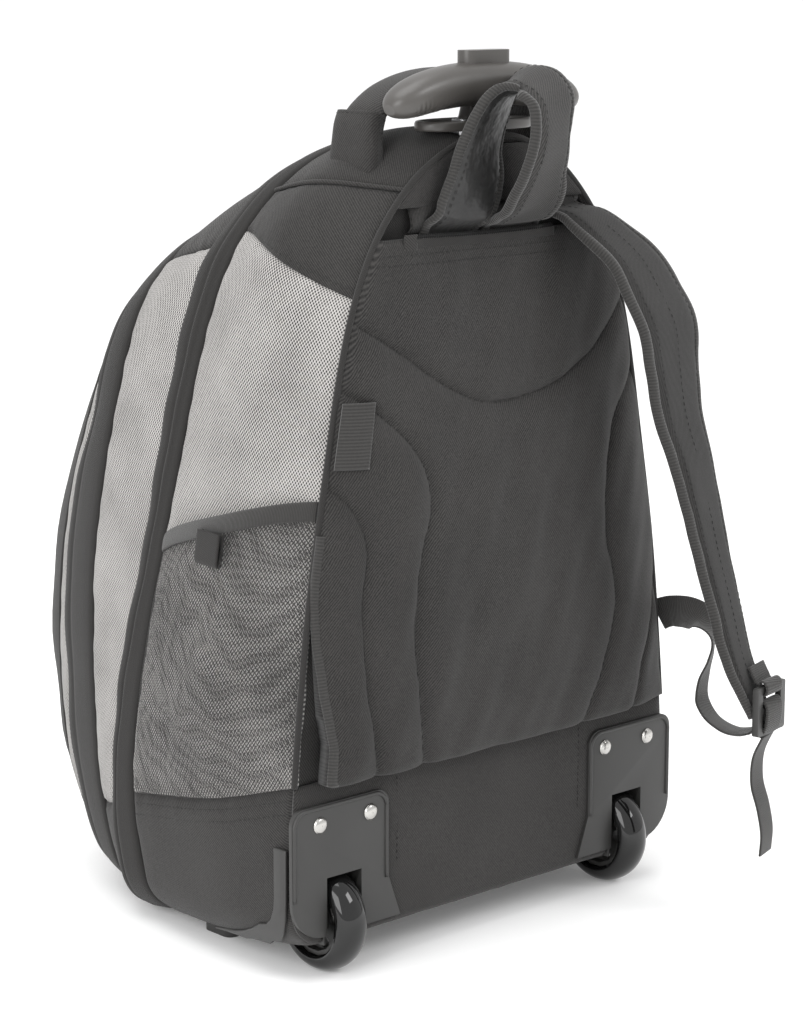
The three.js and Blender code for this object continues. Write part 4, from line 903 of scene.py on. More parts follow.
def seam_ridges():
    """Piping round the back and the front of the bag, ridges on the seams of the top, and rows of stitches
    along the seams of the top, the yoke and the base.
    """
    k = np.linspace(-BASE, BASE, 361)
    path, normal = skin_line([0.0], k, 0.0)
    lean = unit(normal[0] + OUT_Y * 0.9)
    piping("back_piping", path[0] + lean * 0.8, lean, 1.9, M_BAND)
    v = np.linspace(0.02, 1.98, 80)
    for label, sign in (("left", 1), ("right", -1)):
        path, normal = skin_line(v, [sign * SEAM], 0.6)
        piping(f"top_ridge_{label}", path[:, 0], normal[:, 0], 1.5, M_TWILL, 0.7)
        for column in (SEAM + 0.17, YOKE - 0.18, BASE + 0.16, BASE + 0.34):
            line, up = skin_line(v, [sign * column], 1.35)
            seams.add(line[:, 0], up[:, 0])
    k = np.linspace(-LAST, LAST, 500)[:-1]
    for v_place, lift in ((FRONT_PANEL + 0.04, 0.4), (FRONT_PANEL - 0.03, 0.6)):
        path, normal = skin_line([v_place], k, lift)
        name = "front_piping" if v_place > FRONT_PANEL else "front_edge"
        obj = tube(name, path[0], 1.7, normal[0], 8, True)
        dress(obj, M_BAND, "bag")


seam_ridges()


# Zips
def zip_teeth(name, path, normal, pitch=1.7, size=(0.75, 1.7, 1.0)):
    """Rows of small teeth along a path, as one piece."""
    length = arc(path[:, None], 0)[:, 0]
    corners, faces = [], []
    for i, at in enumerate(np.arange(1, length[-1] - 1, pitch / 2)):
        p, q = along_path(at, length, path), along_path(at + 0.5, length, path)
        n = unit(along_path(at, length, normal))
        along = unit(q - p)
        side = np.cross(along, n)
        middle = p + side * (0.5 if i % 2 else -0.5)
        base = len(corners)
        for a in (-1, 1):
            for b in (-1, 1):
                for c in (-1, 1):
                    offset = along * a * size[0] / 2 + side * b * size[1] / 2 + n * c * size[2] / 2
                    corners.append(middle + offset)
        for f in ((0, 1, 3, 2), (4, 6, 7, 5), (0, 4, 5, 1), (2, 3, 7, 6), (0, 2, 6, 4), (1, 5, 7, 3)):
            faces.append(tuple(base + j for j in f))
    obj = mesh_object(name, corners, faces, np.zeros((len(corners), 2)), False)
    return dress(obj, M_TEETH, "bag")


def strip(name, path, normal, wide, thick, mat):
    """A flat tape along a path, lying on a surface with that normal."""
    along = unit(np.gradient(path, axis=0))
    side = unit(np.cross(along, normal))
    tape = sweep(name, path, side, np.cross(side, along), ring(wide / 2, thick / 2, 12, 5.0))
    return dress(tape, mat, "bag")


def pocket_zip():
    x = np.linspace(64, -48, 90)
    sag = 0.9 * np.sin((x + 48) / 112 * math.pi)
    z = FLAP_TOP + 1.0 - sag
    y = on_flap(x, np.full_like(x, FLAP_TOP - 2.0)) + 0.4
    path = np.stack([x, y, z], -1)
    normal = np.repeat(unit(np.array([[0, 1.0, 0.7]])), len(x), 0)
    zip_teeth("pocket_zip_teeth", path, normal)
    strip("pocket_zip_tape", path + [0, 0.1, -3.4], facing_back(x), 5.6, 0.9, M_BAND)
    x = np.linspace(72, 62, 8)
    y = on_flap(x, np.full_like(x, FLAP_TOP - 2.0)) + 0.5
    end = np.stack([x, y, np.full_like(x, FLAP_TOP - 2.5)], -1)
    strip("pocket_zip_end", end, facing_back(x), 10.0, 0.9, M_TWILL)


pocket_zip()


# Inside of the strap pocket, seen above the flap and behind its loose corner; its cloth is the darker twill
# copy, painted shade.
def inner_wall():
    grid = back_grid(np.linspace(76, 446, 60), 60, 9.6, 4)
    grid[..., 1] += 0.5 * waves(grid, 60, 51) * (border_distance(grid) > 0)
    dress(slab("pocket_lining", grid, grid - [0, CLOTH, 0]), M_TWILL_PAINTED_SHADE, "bag", ["rear_wall"])


inner_wall()


def corner_gusset():
    """The folded cloth that shows where the flap's lower left corner stands open."""
    z = np.linspace(FLAP_BOTTOM - 1, 268, 70)
    half = back_half_width(z)[:, None]
    t = np.linspace(0, 1, 30)[None]
    x = half - 0.5 - 40 * t
    zz = np.repeat(z[:, None], 30, 1)
    fold = np.clip((zz - 178) / 30, -1, 1)
    y = BACK_SEAM_Y - 1.0 - 3.0 * t + 2.4 * np.sin(t * 5 + zz / 26) * t + 1.6 * fold * t
    grid = np.stack([x, y, zz], -1)
    dress(slab("corner_gusset", grid, grid - [0, 1.2, 0]), M_TWILL, "bag")


corner_gusset()


def inner_hump():
    """The soft fold of the pocket's mouth behind the strap loop."""
    x = np.linspace(62, -40, 70)
    t = (62 - x) / 102
    rows = []
    for s in np.linspace(0, 1, 26):
        turn = s * math.pi
        top = 28 * np.exp(-((x - 40) / 20) ** 2) + 8 * np.sin(math.pi * np.clip(t, 0, 1)) ** 0.8
        z = FLAP_TOP + 2 + (9 + top) * s - 3 * np.sin(turn)
        bulge = 3.5 + 3.5 * np.sin(t * math.pi) + 0.8 * np.sin(x / 9 + s * 3)
        y = BACK_SEAM_Y - 3.5 + bulge * np.sin(turn)
        rows.append(np.stack([x, y, z + 0 * x], -1))
    grid = np.array(rows)
    dress(slab("mouth_fold", grid, grid - [0, 1.6, 0]), M_TWILL, "bag")


def base_panel():
    """Cloth over the board at the foot of the back, open where the wheels are."""
    grid = back_grid(np.linspace(23, 119, 50), 160, BACK_SEAM_Y + 1.7)
    edge = border_distance(grid)
    grid[..., 1] += 0.9 * (1 - np.exp(-edge / 5)) - 0.9 * np.exp(-edge / 1.4) + 0.3 * waves(grid, 45, 61)
    obj = dress(slab("back_base", grid, grid - [0, 1.6, 0]), M_TWILL, "bag", ["back_base_panel"])
    open_for_wheels(obj, -40, 60, 70)
    for x_place in (76, -76):
        z_line = np.linspace(60, 114, 60)
        path = np.stack([np.full_like(z_line, x_place), np.full_like(z_line, BACK_SEAM_Y + 2.8), z_line], -1)
        seams.add(path, facing_back(path))


def cut_box(obj, x0, x1, y0, y1, z0, z1):
    """Takes out the faces whose middle lies in a box given in millimetres."""
    mesh = bmesh.new()
    mesh.from_mesh(obj.data)
    low = Vector((x0 / 1000, (y0 + AXLE_Y) / 1000, z0 / 1000))
    high = Vector((x1 / 1000, (y1 + AXLE_Y) / 1000, z1 / 1000))
    inside = []
    for face in mesh.faces:
        c = face.calc_center_median()
        if all(low[i] < c[i] < high[i] for i in range(3)):
            inside.append(face)
    bmesh.ops.delete(mesh, geom=inside, context="FACES")
    mesh.to_mesh(obj.data)
    mesh.free()


def open_for_wheels(obj, y0, y1, z1):
    for middle in (WHEEL_X, -WHEEL_X):
        cut_box(obj, middle - WHEEL_OPENING, middle + WHEEL_OPENING, y0, y1, -5, z1)


# Half the wheels' spacing, and half the width of the openings they stand in
WHEEL_X, WHEEL_OPENING = 237.2 / 2, 15.6
base_panel()
inner_hump()
cut_box(bpy.data.objects["bag_top"], -17.5, 17.5, -9.7, 9.7, 440, 500)
open_for_wheels(bpy.data.objects["bag_base"], -37, 40, 72)

# Bottle pockets
POCKET_SPAN = (0.025, 1.94)
POCKET_REAR, POCKET_FRONT = 270.0, 232.0
BAND_HEIGHT = 11.0


def pocket_top(v):
    return POCKET_REAR + (POCKET_FRONT - POCKET_REAR) * (np.asarray(v) / REAR_ZIP) ** 1.4


def pocket_lift(along, down):
    bow = np.sin(math.pi * along) ** 0.7
    return 1.3 + bow * (8 * (1 - down) + 12 * np.sin(math.pi * down))


def pocket_side(name, sign):
    v = np.linspace(*POCKET_SPAN, 70)
    along = np.linspace(0, 1, 70)[:, None]
    down = np.linspace(0, 1, 70)[None]
    top = place_at_height(v, pocket_top(v))
    places = top[:, None] + (base_line(v) - top)[:, None] * down
    rows = np.broadcast_to(v[:, None], places.shape)
    skin, normal = surface(places, rows), surface_normal(places, rows)
    bow = np.sin(math.pi * along) ** 0.5 * np.sin(math.pi * np.clip(down, 0, 1)) ** 0.5
    lift = pocket_lift(along, down) + (1.5 * waves(skin, 55, 71) + 0.9 * waves(skin, 22, 72)) * bow
    flip = np.array([sign, 1, 1])
    net = (skin + normal * lift[..., None]) * flip
    uv = grid_uv(net)
    net_obj = mesh_object(f"net_{name}", net.reshape(-1, 3), grid_faces(70, 70), uv.reshape(-1, 2))
    dress(net_obj, M_NET, "bag", [f"pocket_net_{name}"])
    tuck = place_at_height(v, pocket_top(v) + BAND_HEIGHT)
    shares = np.linspace(0, 1, 14)
    outer = []
    for s in shares:
        place = top + (tuck - top) * s
        point, up = surface(place, v), surface_normal(place, v)
        thick = 1.1 + 1.0 * math.sin(math.pi * s) ** 0.5
        outer.append((point + up * (pocket_lift(along, 0)[:, 0] + thick - 0.6)[:, None]) * flip)
    outer = np.array(outer).transpose(1, 0, 2)
    inner = outer - (normal[:, :1] * flip) * 2.0
    dress(slab(f"band_{name}", outer, inner), M_RIBBON, "bag", [f"pocket_band_{name}"])
    v_loop = np.array([1.08])
    place = place_at_height(v_loop, pocket_top(v_loop) + 2)
    root, out = surface(place, v_loop)[0], surface_normal(place, v_loop)[0]
    down_dir = unit(surface(place + 0.1, v_loop)[0] - root)
    wide = unit(np.cross(out, down_dir))
    path = []
    for a in np.linspace(0, 1, 12):
        path.append((9.6, 17 * a))
    for a in np.linspace(0.15, 0.95, 9):
        path.append((11.2 - 1.6 * math.cos(a * math.pi), 17 + 2.2 * math.sin(a * math.pi)))
    for a in np.linspace(1, 0, 12):
        path.append((12.9, 17 * a))
    middle = np.array([root + out * a + down_dir * b for a, b in path]) * flip
    along_dir, side, up = frame_of(middle, np.repeat([wide * flip], len(middle), 0))
    loop = sweep(f"loop_{name}", middle, side, up, ring(10.5, 0.75, 14, 6.0))
    dress(loop, M_BAND, "bag", [f"pocket_loop_{name}"])


def grid_faces(rows, columns):
    faces = []
    for r in range(rows - 1):
        for c in range(columns - 1):
            a = r * columns + c
            faces.append((a, a + 1, a + columns + 1, a + columns))
    return faces


pocket_side("left", 1)
pocket_side("right", -1)

# Shoulder straps
# side, out, up, width, turn, fullness
STRAP_ROWS = np.array([
    [-0.37, 0, 1.005, 0.42, 0, 0.35], [-0.375, 0.01, 0.984, 0.48, 2, 0.4],
    [-0.405, 0.14, 0.968, 0.64, 6, 0.8], [-0.43, 0.28, 0.935, 0.74, 9, 1],
    [-0.48, 0.42, 0.885, 0.85, 12, 1], [-0.51, 0.51, 0.825, 0.94, 14, 1], [-0.545, 0.57, 0.765, 1, 15, 1],
    [-0.558, 0.588, 0.695, 0.93, 16, 1], [-0.582, 0.605, 0.6, 0.83, 16, 1],
    [-0.618, 0.658, 0.505, 0.75, 17, 1], [-0.653, 0.694, 0.415, 0.69, 18, 1],
    [-0.684, 0.744, 0.31, 0.63, 18, 1], [-0.716, 0.8, 0.21, 0.58, 19, 1],
    [-0.75, 0.84, 0.12, 0.53, 19, 0.9], [-0.79, 0.887, 0.055, 0.47, 18, 0.7],
    [-0.815, 0.933, 0.005, 0.38, 15, 0.4],
])
STRAP_WIDTH, STRAP_THICKNESS, STRAP_ROOT_Y = 66.0, 9.0, 12.6
STRAP_REACH, STRAP_DROP, STRAP_END_Z = 112.0, 308.0, 131.0
LOOP_REACH, LOOP_HEIGHT = 68.0, 80.0
# near edge's side, out, up; far edge's side, out, up; fullness
LOOP_ROWS = np.array([
    [0.8, 0, -0.16, 0.16, 0, -0.14, 0.4], [0.8, 0, 0.03, 0.14, 0, 0.03, 0.4],
    [0.77, 0.13, 0.16, 0.06, 0.13, 0.16, 0.6], [0.67, 0.2, 0.38, 0.02, 0.18, 0.4, 0.8],
    [0.6, 0.25, 0.6, 0.02, 0.16, 0.62, 1], [0.51, 0.32, 0.8, -0.04, 0.19, 0.86, 1],
    [0.4, 0.42, 0.95, -0.18, 0.23, 1.06, 1], [0.31, 0.56, 1, -0.3, 0.29, 1.15, 1],
    [0.27, 0.7, 0.96, -0.39, 0.37, 1.14, 1], [0.26, 0.8, 0.85, -0.44, 0.46, 1.05, 1],
    [0.27, 0.82, 0.7, -0.44, 0.51, 0.9, 1], [0.29, 0.78, 0.55, -0.44, 0.51, 0.72, 1],
    [0.27, 0.66, 0.41, -0.45, 0.48, 0.55, 1], [0.22, 0.5, 0.28, -0.48, 0.4, 0.37, 1],
    [0.15, 0.33, 0.18, -0.56, 0.3, 0.2, 0.8], [0.1, 0.17, 0.1, -0.59, 0.17, 0.1, 0.55],
    [0.06, 0, 0.03, -0.6, 0, 0.03, 0.4], [0.05, 0, -0.16, -0.6, 0, -0.16, 0.4],
])


def strap_stations():
    side, out, up, width, turn, bulk = STRAP_ROWS.T
    y, z = STRAP_ROOT_Y + out * STRAP_REACH, STRAP_END_Z + up * STRAP_DROP
    middle = np.stack([side * HALF_WIDTH, y, z], -1)
    angle = np.radians(turn)
    wide = np.stack([-np.cos(angle), -np.sin(angle), np.zeros(len(angle))], -1)
    return np.concatenate([middle, wide, width[:, None] * STRAP_WIDTH, bulk[:, None]], 1)


def loop_stations():
    def point(columns):
        side, out, up = columns.T
        y, z = STRAP_ROOT_Y + out * LOOP_REACH, FLAP_TOP + up * LOOP_HEIGHT
        return np.stack([side * STRAP_WIDTH, y, z], -1)
    near, far = point(LOOP_ROWS[:, :3]), point(LOOP_ROWS[:, 3:6])
    width = np.linalg.norm(far - near, axis=1)
    return np.concatenate([(near + far) / 2, unit(far - near), width[:, None], LOOP_ROWS[:, 6:]], 1)


def strap_section(sides=44):
    """Ring of a padded strap: full between two flat edges."""
    turn = np.arange(sides) * 2 * math.pi / sides
    c, s = np.cos(turn), np.sin(turn)
    across = np.sign(c) * np.abs(c) ** 0.55
    full = 0.42 + 0.58 * np.clip((1 - np.abs(across)) / 0.3, 0, 1) ** 0.6
    return across, np.sign(s) * np.abs(s) ** 0.35 * full


def padded_strap(name, stations, count, node_name, outside, inside, seed, stitch_rows):
    """A padded strap with a cloth for each face, ribbed edge bindings and rows of stitches."""
    data = curve_points(stations, count)
    middle, wide, width, bulk = data[:, :3], data[:, 3:6], data[:, 6], data[:, 7]
    along, side, up = frame_of(middle, wide)
    across, full = strap_section()
    ripple = waves(middle, 30, seed) * 0.5
    half_thick = STRAP_THICKNESS / 2 * bulk
    section = np.stack([
        across[None] * (width[:, None] / 2 - 1.5),
        full[None] * (half_thick + ripple * bulk)[:, None],
    ], -1)
    obj = sweep(name, middle, side, up, section)
    dress(obj, outside, "bag", [node_name])
    obj.data.materials.append(inside)
    sides = len(across)
    index = np.zeros(len(obj.data.polygons), int)
    quads = np.arange((count - 1) * sides)
    index[quads[full[quads % sides] < 0]] = 1
    obj.data.polygons.foreach_set("material_index", index)
    for label, sign in (("near", -1), ("far", 1)):
        edge = middle + side * sign * (width / 2 - 2.2)[:, None]
        wave = 0.5 * waves(edge, 24, seed + 3)[:, None]
        size = np.stack([np.ones(count), half_thick * 0.42 + 1.1], -1)
        bind = ring(2.9, 1.0, 12, 3.0)[None] * size[:, None]
        binding = sweep(f"{name}_binding_{label}", edge + up * wave * 0.4, side, up, bind)
        dress(binding, M_TAPE, "bag")
    for share in stitch_rows:
        line = middle + side * (share * width / 2)[:, None]
        lift = half_thick * (0.42 + 0.58 * min(1, (1 - abs(share)) / 0.3) ** 0.6) * 0.99 + 0.2
        for face in (1, -1):
            seams.add(line + up * (face * lift)[:, None], up * face)


# The right strap's underside takes the darker twill copy, painted shade.
padded_strap("shoulder_strap_right", strap_stations(), 150, "strap_right", M_COARSE, M_TWILL_PAINTED_SHADE, 81,
             (0.72, -0.72, 0.0))
padded_strap("shoulder_strap_left", loop_stations(), 170, "strap_left", M_LINING, M_COARSE, 82, (0.7, -0.7))

# side, out, up from the buckle's middle; direction of the width
WEBBING_ROWS = np.array([
    [-0.154, -0.992, 0.34, 0.11, 0, 1], [-0.157, -0.955, 0.36, 0.11, 0, 1],
    [-0.164, -0.895, 0.379, 0.05, 0.05, 1], [-0.155, -0.745, 0.395, -0.35, -0.3, 0.8],
    [-0.146, -0.626, 0.369, -0.6, -0.5, 0.5], [-0.136, -0.546, 0.289, -0.75, -0.6, 0.3],
    [-0.127, -0.55, 0.182, -0.85, -0.5, 0.2], [-0.117, -0.592, 0.048, -0.93, -0.36, 0.1],
    [-0.108, -0.596, -0.084, -0.93, -0.36, 0], [-0.089, -0.507, -0.171, -0.93, -0.36, -0.1],
    [-0.066, -0.355, -0.208, -0.95, -0.3, -0.1], [-0.038, -0.202, -0.188, -0.98, -0.25, 0],
    [0.01, -0.06, -0.135, -1, -0.2, 0], [0, -0.04, -0.095, -1, -0.2, 0],
])
BUCKLE = np.array([-0.845 * HALF_WIDTH, 121.0, 135.0])
WEBBING_REACH = BUCKLE[1] - BACK_SEAM_Y
WEBBING_WIDTH = 20.0
# side and out as shares of the webbing's width, down as a share of the tail's length
TAIL_ROWS = np.array([[0, 0, 0.012], [0.08, -0.26, 0.2], [0.09, -0.28, 0.42], [0.04, -0.08, 0.62],
                      [0.0, 0.04, 0.82], [0.02, 0.02, 1]])
TAIL_LENGTH, TAIL_TOP = 76.0, 15.3


def flat_tape(name, stations, count, wide, thick, mat, node_name):
    data = curve_points(stations, count)
    along, side, up = frame_of(data[:, :3], data[:, 3:6])
    obj = sweep(name, data[:, :3], side, up, ring(wide / 2, thick / 2, 16, 6.0))
    return dress(obj, mat, "bag", [node_name])


webbing = WEBBING_ROWS.copy()
webbing[:, :3] = BUCKLE + webbing[:, :3] * WEBBING_REACH
flat_tape("side_webbing", webbing, 130, WEBBING_WIDTH, 1.5, M_WEBBING, "strap_webbing")
tail = np.zeros((len(TAIL_ROWS), 6))
tail[:, 0] = BUCKLE[0] + TAIL_ROWS[:, 0] * 22
tail[:, 1] = BUCKLE[1] + TAIL_ROWS[:, 1] * 22
tail[:, 2] = BUCKLE[2] - TAIL_TOP - TAIL_ROWS[:, 2] * TAIL_LENGTH
tail[:, 3:] = (-0.94, -0.34, 0)
flat_tape("webbing_tail", tail, 60, WEBBING_WIDTH, 1.5, M_WEBBING, "strap_tail")

# Webbing that runs over the buckle's bars
BUCKLE_PATH = [[0, -4.2, -14], [0, -4.6, -5], [0, -3.4, 3], [0, 0, 5.4], [0, 3.8, 3], [0, 4.2, -5],
               [0, 2.6, -12], [0, 0, -16]]
TIP_PATH = [[2.5, -9, 26], [1.5, -6, 20], [0.5, -3.6, 16], [0, 0, 17.6], [0, 3.4, 15.5], [0, 3.4, 11],
            [0.5, -1, 9], [1, -4.5, 13]]
for label, rows in (("bar", BUCKLE_PATH), ("tip", TIP_PATH)):
    over = np.zeros((len(rows), 6))
    over[:, :3] = BUCKLE + np.array(rows)
    over[:, 3:] = (-0.978, -0.208, 0)
    data = curve_points(over, 60)
    along, side, up = frame_of(data[:, :3], data[:, 3:6])
    web = sweep(f"buckle_web_{label}", data[:, :3], side, up, ring(9.6, 0.8, 16, 6.0))
    dress(web, M_WEBBING, "bag")

# Grab handle
HANDLE_ROWS = [[1.09, 0.28], [1.05, 0.48], [0.92, 0.66], [0.7, 0.83], [0.38, 0.95], [0, 0.99]]
HANDLE_HALF, HANDLE_ROOT, HANDLE_RISE, HANDLE_Y = 60.0, 464.0, 47.5, -27.0
SLEEVE_ROWS = [[1.13, 0], [1.11, 0.46], [1.085, 0.83], [1.04, 1.06]]
SLEEVE_FOOT, SLEEVE_HEIGHT = 456.0, 34.0


def grab_handle():
    half = [(a * HANDLE_HALF, HANDLE_Y, HANDLE_ROOT + b * HANDLE_RISE) for a, b in HANDLE_ROWS]
    rows = half + [(-x, y, z) for x, y, z in half[-2::-1]]
    middle = curve_points(np.array(rows), 120)
    along, side, up = frame_of(middle, np.repeat([[0, 1.0, 0]], len(middle), 0))
    t = np.linspace(-1, 1, len(middle))
    wide = 16 - 1.2 * np.cos(t * math.pi / 2) ** 2
    tall = 4.6 + 0.8 * np.cos(t * math.pi / 2) + 0.2 * waves(middle, 26, 91)
    section = ring(1, 1, 36, 2.7)[None] * np.stack([wide, tall], -1)[:, None]
    handle = dress(sweep("top_handle", middle, side, up, section), M_COARSE, "bag", ["grab_handle"])
    for sign in (1, -1):
        line = middle + side * (sign * (wide - 4.4))[:, None]
        seams.add((line - up * (tall * 0.92)[:, None])[8:-8], -up[8:-8])


def handle_sleeve(label, sign):
    rows = [(sign * a * HANDLE_HALF, HANDLE_Y, SLEEVE_FOOT + b * SLEEVE_HEIGHT) for a, b in SLEEVE_ROWS]
    middle = curve_points(rows, 40)
    along, side, up = frame_of(middle, np.repeat([[0, 1.0, 0]], len(middle), 0))
    t = np.linspace(0, 1, len(middle))
    wide = 18.2 + 0.6 * np.sin(t * 5) - 0.5 * t
    tall = 7.0 - 0.5 * t + 0.35 * np.sin(t * 9)
    section = ring(1, 1, 44, 4.0)[None] * np.stack([wide, tall], -1)[:, None]
    obj = sweep(f"handle_sleeve_cloth_{label}", middle, side, up, section)
    dress(obj, M_TWILL, "bag", [f"handle_sleeve_{label}"])
    top = ring(1, 1, 44, 4.0) * [wide[-3] + 0.15, tall[-3] + 0.15]
    path = middle[-3] + side[-3] * top[:, :1] + up[-3] * top[:, 1:]
    outward_dir = unit(path - middle[-3])
    closed = np.concatenate([path, path[:1]])
    seams.add(closed, np.concatenate([outward_dir, outward_dir[:1]]))


grab_handle()
handle_sleeve("left", 1)
handle_sleeve("right", -1)


def bare_tab():
    """Plain folded tab in the left side seam."""
    z = np.linspace(336, 299, 24)
    t = np.linspace(0, 1, 14)[None]
    half = back_half_width(z)[:, None]
    x = half - 0.5 - 17.5 * t
    zz = np.repeat(z[:, None], 14, 1)
    up = (zz - FLAP_BOTTOM) / (FLAP_TOP - FLAP_BOTTOM)
    rise = FLAP_CROWN * smooth(CROWN_KNOTS, CROWN_SHARES, up) * (1 - np.abs(x / half) ** 5)
    y = FLAP_FACE_Y + rise + 1.6 + 0.8 * np.sin(t * 3)
    grid = np.stack([x, y, zz], -1)
    dress(slab("bare_tab", grid, grid - [0, 1.0, 0]), M_TAPE, "bag", ["label_tab"])


bare_tab()
seams.finish("stitches", M_THREAD)

# Wheels, guards and trolley
def bevelled(node_name, mat, width, segments=3, angle=35):
    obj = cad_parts[node_name]
    obj.data.materials.clear()
    obj.data.materials.append(mat)
    weld = obj.modifiers.new("join", "WELD")
    weld.merge_threshold = 0.00001
    bevel = obj.modifiers.new("edge", "BEVEL")
    bevel.width = width / 1000
    bevel.segments = segments
    bevel.limit_method = "ANGLE"
    bevel.angle_limit = math.radians(angle)
    bevel.harden_normals = False
    obj.data.polygons.foreach_set("use_smooth", [True] * len(obj.data.polygons))
    return obj


def plain(node_name, mat):
    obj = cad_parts[node_name]
    obj.data.materials.clear()
    obj.data.materials.append(mat)
    return obj


def closed_body(name, points):
    """A body from a grid of points that closes on itself both ways."""
    rows, columns = points.shape[:2]
    faces = []
    for i in range(rows):
        j = (i + 1) % rows
        for k in range(columns):
            m = (k + 1) % columns
            faces.append((i * columns + k, i * columns + m, j * columns + m, j * columns + k))
    flat = points.reshape(-1, 3)
    return mesh_object(name, flat, outward(flat, faces), np.zeros((len(flat), 2)))


def lathe(name, profile, x, y, z, axis="x", sides=72):
    """A turned body from (radius, along) pairs round an axis through x, y, z."""
    profile = np.asarray(profile, float)
    turn = np.arange(sides) * 2 * math.pi / sides
    r, a = profile[:, 0][None], profile[:, 1][None]
    c, s = np.cos(turn)[:, None], np.sin(turn)[:, None]
    if axis == "x":
        points = np.stack([x + a + 0 * c, y + r * c, z + r * s], -1)
    else:
        points = np.stack([x + r * c, y + a + 0 * c, z + r * s], -1)
    return closed_body(name, points)


WHEEL_Z = 32.0
BEARING_PROFILE = [(4.9, -2), (4.9, 0.3), (5.6, 0.7), (7.2, 0.7), (7.8, 0.2), (7.8, -2)]
PLATE_FACE_Y = BACK_SEAM_Y + 0.6 + 1.6 + 2.5
RIVET_Z, RIVET_PITCH = 95.2, 38.5


def wheel(label, sign):
    x = sign * WHEEL_X
    turn = np.linspace(-math.pi / 2, math.pi / 2, 25)
    outer = [(22.6 + 9.4 * math.cos(t) ** 0.8, 11 * math.sin(t)) for t in turn]
    inner = [(22.4, 8.5), (22.4, -8.5)]
    tyre = lathe(f"tyre_gloss_{label}", outer + inner, x, 0, WHEEL_Z, "x", 96)
    dress(tyre, M_TYRE, f"wheel_{label}", [f"tyre_{label}"])
    for side in (1, -1):
        face = side * 7.6
        profile = [(r, face + side * along) for r, along in BEARING_PROFILE]
        bearing = lathe(f"bearing_{label}_{'out' if side > 0 else 'in'}", profile, x, 0, WHEEL_Z, "x", 48)
        dress(bearing, M_STEEL, f"wheel_{label}")


for side_name, sign in (("left", 1), ("right", -1)):
    bevelled(f"wheel_housing_{side_name}", M_PLASTIC, 0.7)
    bevelled(f"corner_guard_{side_name}", M_PLASTIC, 0.8)
    bevelled(f"skid_foot_{side_name}", M_PLASTIC, 0.8)
    bevelled(f"hub_{side_name}", M_PLASTIC, 0.4)
    plain(f"axle_{side_name}", M_STEEL)
    wheel(side_name, sign)


def rivets():
    """Domed rivets at the top of both wheel plates."""
    number = 0
    for sign in (1, -1):
        for across in (-0.5, 0.5):
            number += 1
            x = sign * WHEEL_X - sign * 1.0 + across * RIVET_PITCH
            dome = [(0.01, 2.3)]
            dome += [(4.6 * math.sin(t), 0.5 + 1.8 * math.cos(t)) for t in np.linspace(0.15, 1.5, 9)]
            dome += [(5.0, 0.5), (5.0, 0.1), (0.01, 0.1)]
            rivet = lathe(f"rivet_dome_{number}", dome, x, PLATE_FACE_Y, RIVET_Z, "y", 32)
            dress(rivet, M_STEEL, "bag", [f"rivet_{number}"])


rivets()


def plate_rim(label, sign):
    """Raised rim round the top and outer edge of a wheel plate."""
    x0, half = sign * (WHEEL_X + 2.4), 37.0
    corner, low, high = 9.0, 53.0, 107.0
    inset, drop, straight = half - corner, high - corner, 16
    quarter = [(corner * math.cos(t), corner * math.sin(t)) for t in np.linspace(0, math.pi / 2, 9)[1:]]
    path = [(half, z) for z in np.linspace(low, drop, straight)]
    path += [(inset + c, drop + s) for c, s in quarter]
    path += [(x, high) for x in np.linspace(inset, -inset, 20)[1:]]
    path += [(-inset - s, drop + c) for c, s in quarter]
    path += [(-half, z) for z in np.linspace(drop, low, straight)[1:]]
    points = []
    for a, b in path:
        points.append((x0 + sign * (a - 1.8 * a / half), PLATE_FACE_Y - 0.1, b - (1.6 if b > drop else 0)))
    points = np.array(points)
    rim = tube(f"plate_rim_{label}", points, 1.3, facing_back(points), 8)
    dress(rim, M_PLASTIC, "bag")


plate_rim("left", 1)
plate_rim("right", -1)

for name in ("trolley_sleeve", "trolley_stage"):
    plain(name, M_TUBE)
bevelled("push_button", M_GRIP, 2.4, 4)
bevelled("strap_buckle", M_PLASTIC, 1.1)
NECK_FOOT = 488.3


def post():
    """The inner tube with the narrow dark neck that carries the grip."""
    low, high = [np.array(corner) * 1000 - [0, AXLE_Y, 0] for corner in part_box("grip_post")]
    half = (high - low) / 2
    centre = (high + low) / 2
    rows = [(low[2], half[0], half[1]), (NECK_FOOT - 0.2, half[0], half[1]), (NECK_FOOT, 9.5, 6.2),
            (NECK_FOOT + 1.5, 8.6, 5.9), (495, 7.2, 5.6), (high[2], 6.6, 5.4)]
    middle = np.array([(centre[0], centre[1], z) for z, a, b in rows])
    section = ring(1, 1, 48, 4.0)[None] * np.array([(a, b) for z, a, b in rows])[:, None]
    count = len(rows)
    side, up = np.repeat([[1.0, 0, 0]], count, 0), np.repeat([[0, 1.0, 0]], count, 0)
    obj = sweep("grip_tube", middle, side, up, section)
    dress(obj, M_TUBE, "trolley_grip", ["grip_post"])
    obj.data.materials.append(M_GRIP)
    index = np.zeros(len(obj.data.polygons), int)
    index[48:(count - 1) * 48] = 1
    obj.data.polygons.foreach_set("material_index", index)


def oval_plate():
    """The oval plate the tubes run through, with a thick rounded rim."""
    low, high = [np.array(corner) * 1000 - [0, AXLE_Y, 0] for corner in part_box("trolley_plate")]
    centre = (high + low) / 2
    a, b, tall = 42.5, (high[1] - low[1]) / 2 - 0.4, high[2] - low[2]
    hole = ring(15.9, 8.2, 96, 5.0)
    rim = ring(a, b, 96, 2.3)
    steps = [(0.0, 0.15), (0.0, tall - 1.6), (0.82, tall - 1.6), (0.88, tall - 0.5), (0.93, tall),
             (0.97, tall - 0.3), (1.0, tall - 1.6), (1.0, 1.4), (0.98, 0.5), (0.95, 0.15)]
    points = []
    for share, height in steps:
        flat = hole + (rim - hole) * share
        points.append(np.concatenate([flat + centre[:2], np.full((96, 1), low[2] + height)], 1))
    plate = closed_body("oval_plate", np.array(points).transpose(1, 0, 2))
    dress(plate, M_GRIP, "bag", ["trolley_plate"])


post()
oval_plate()

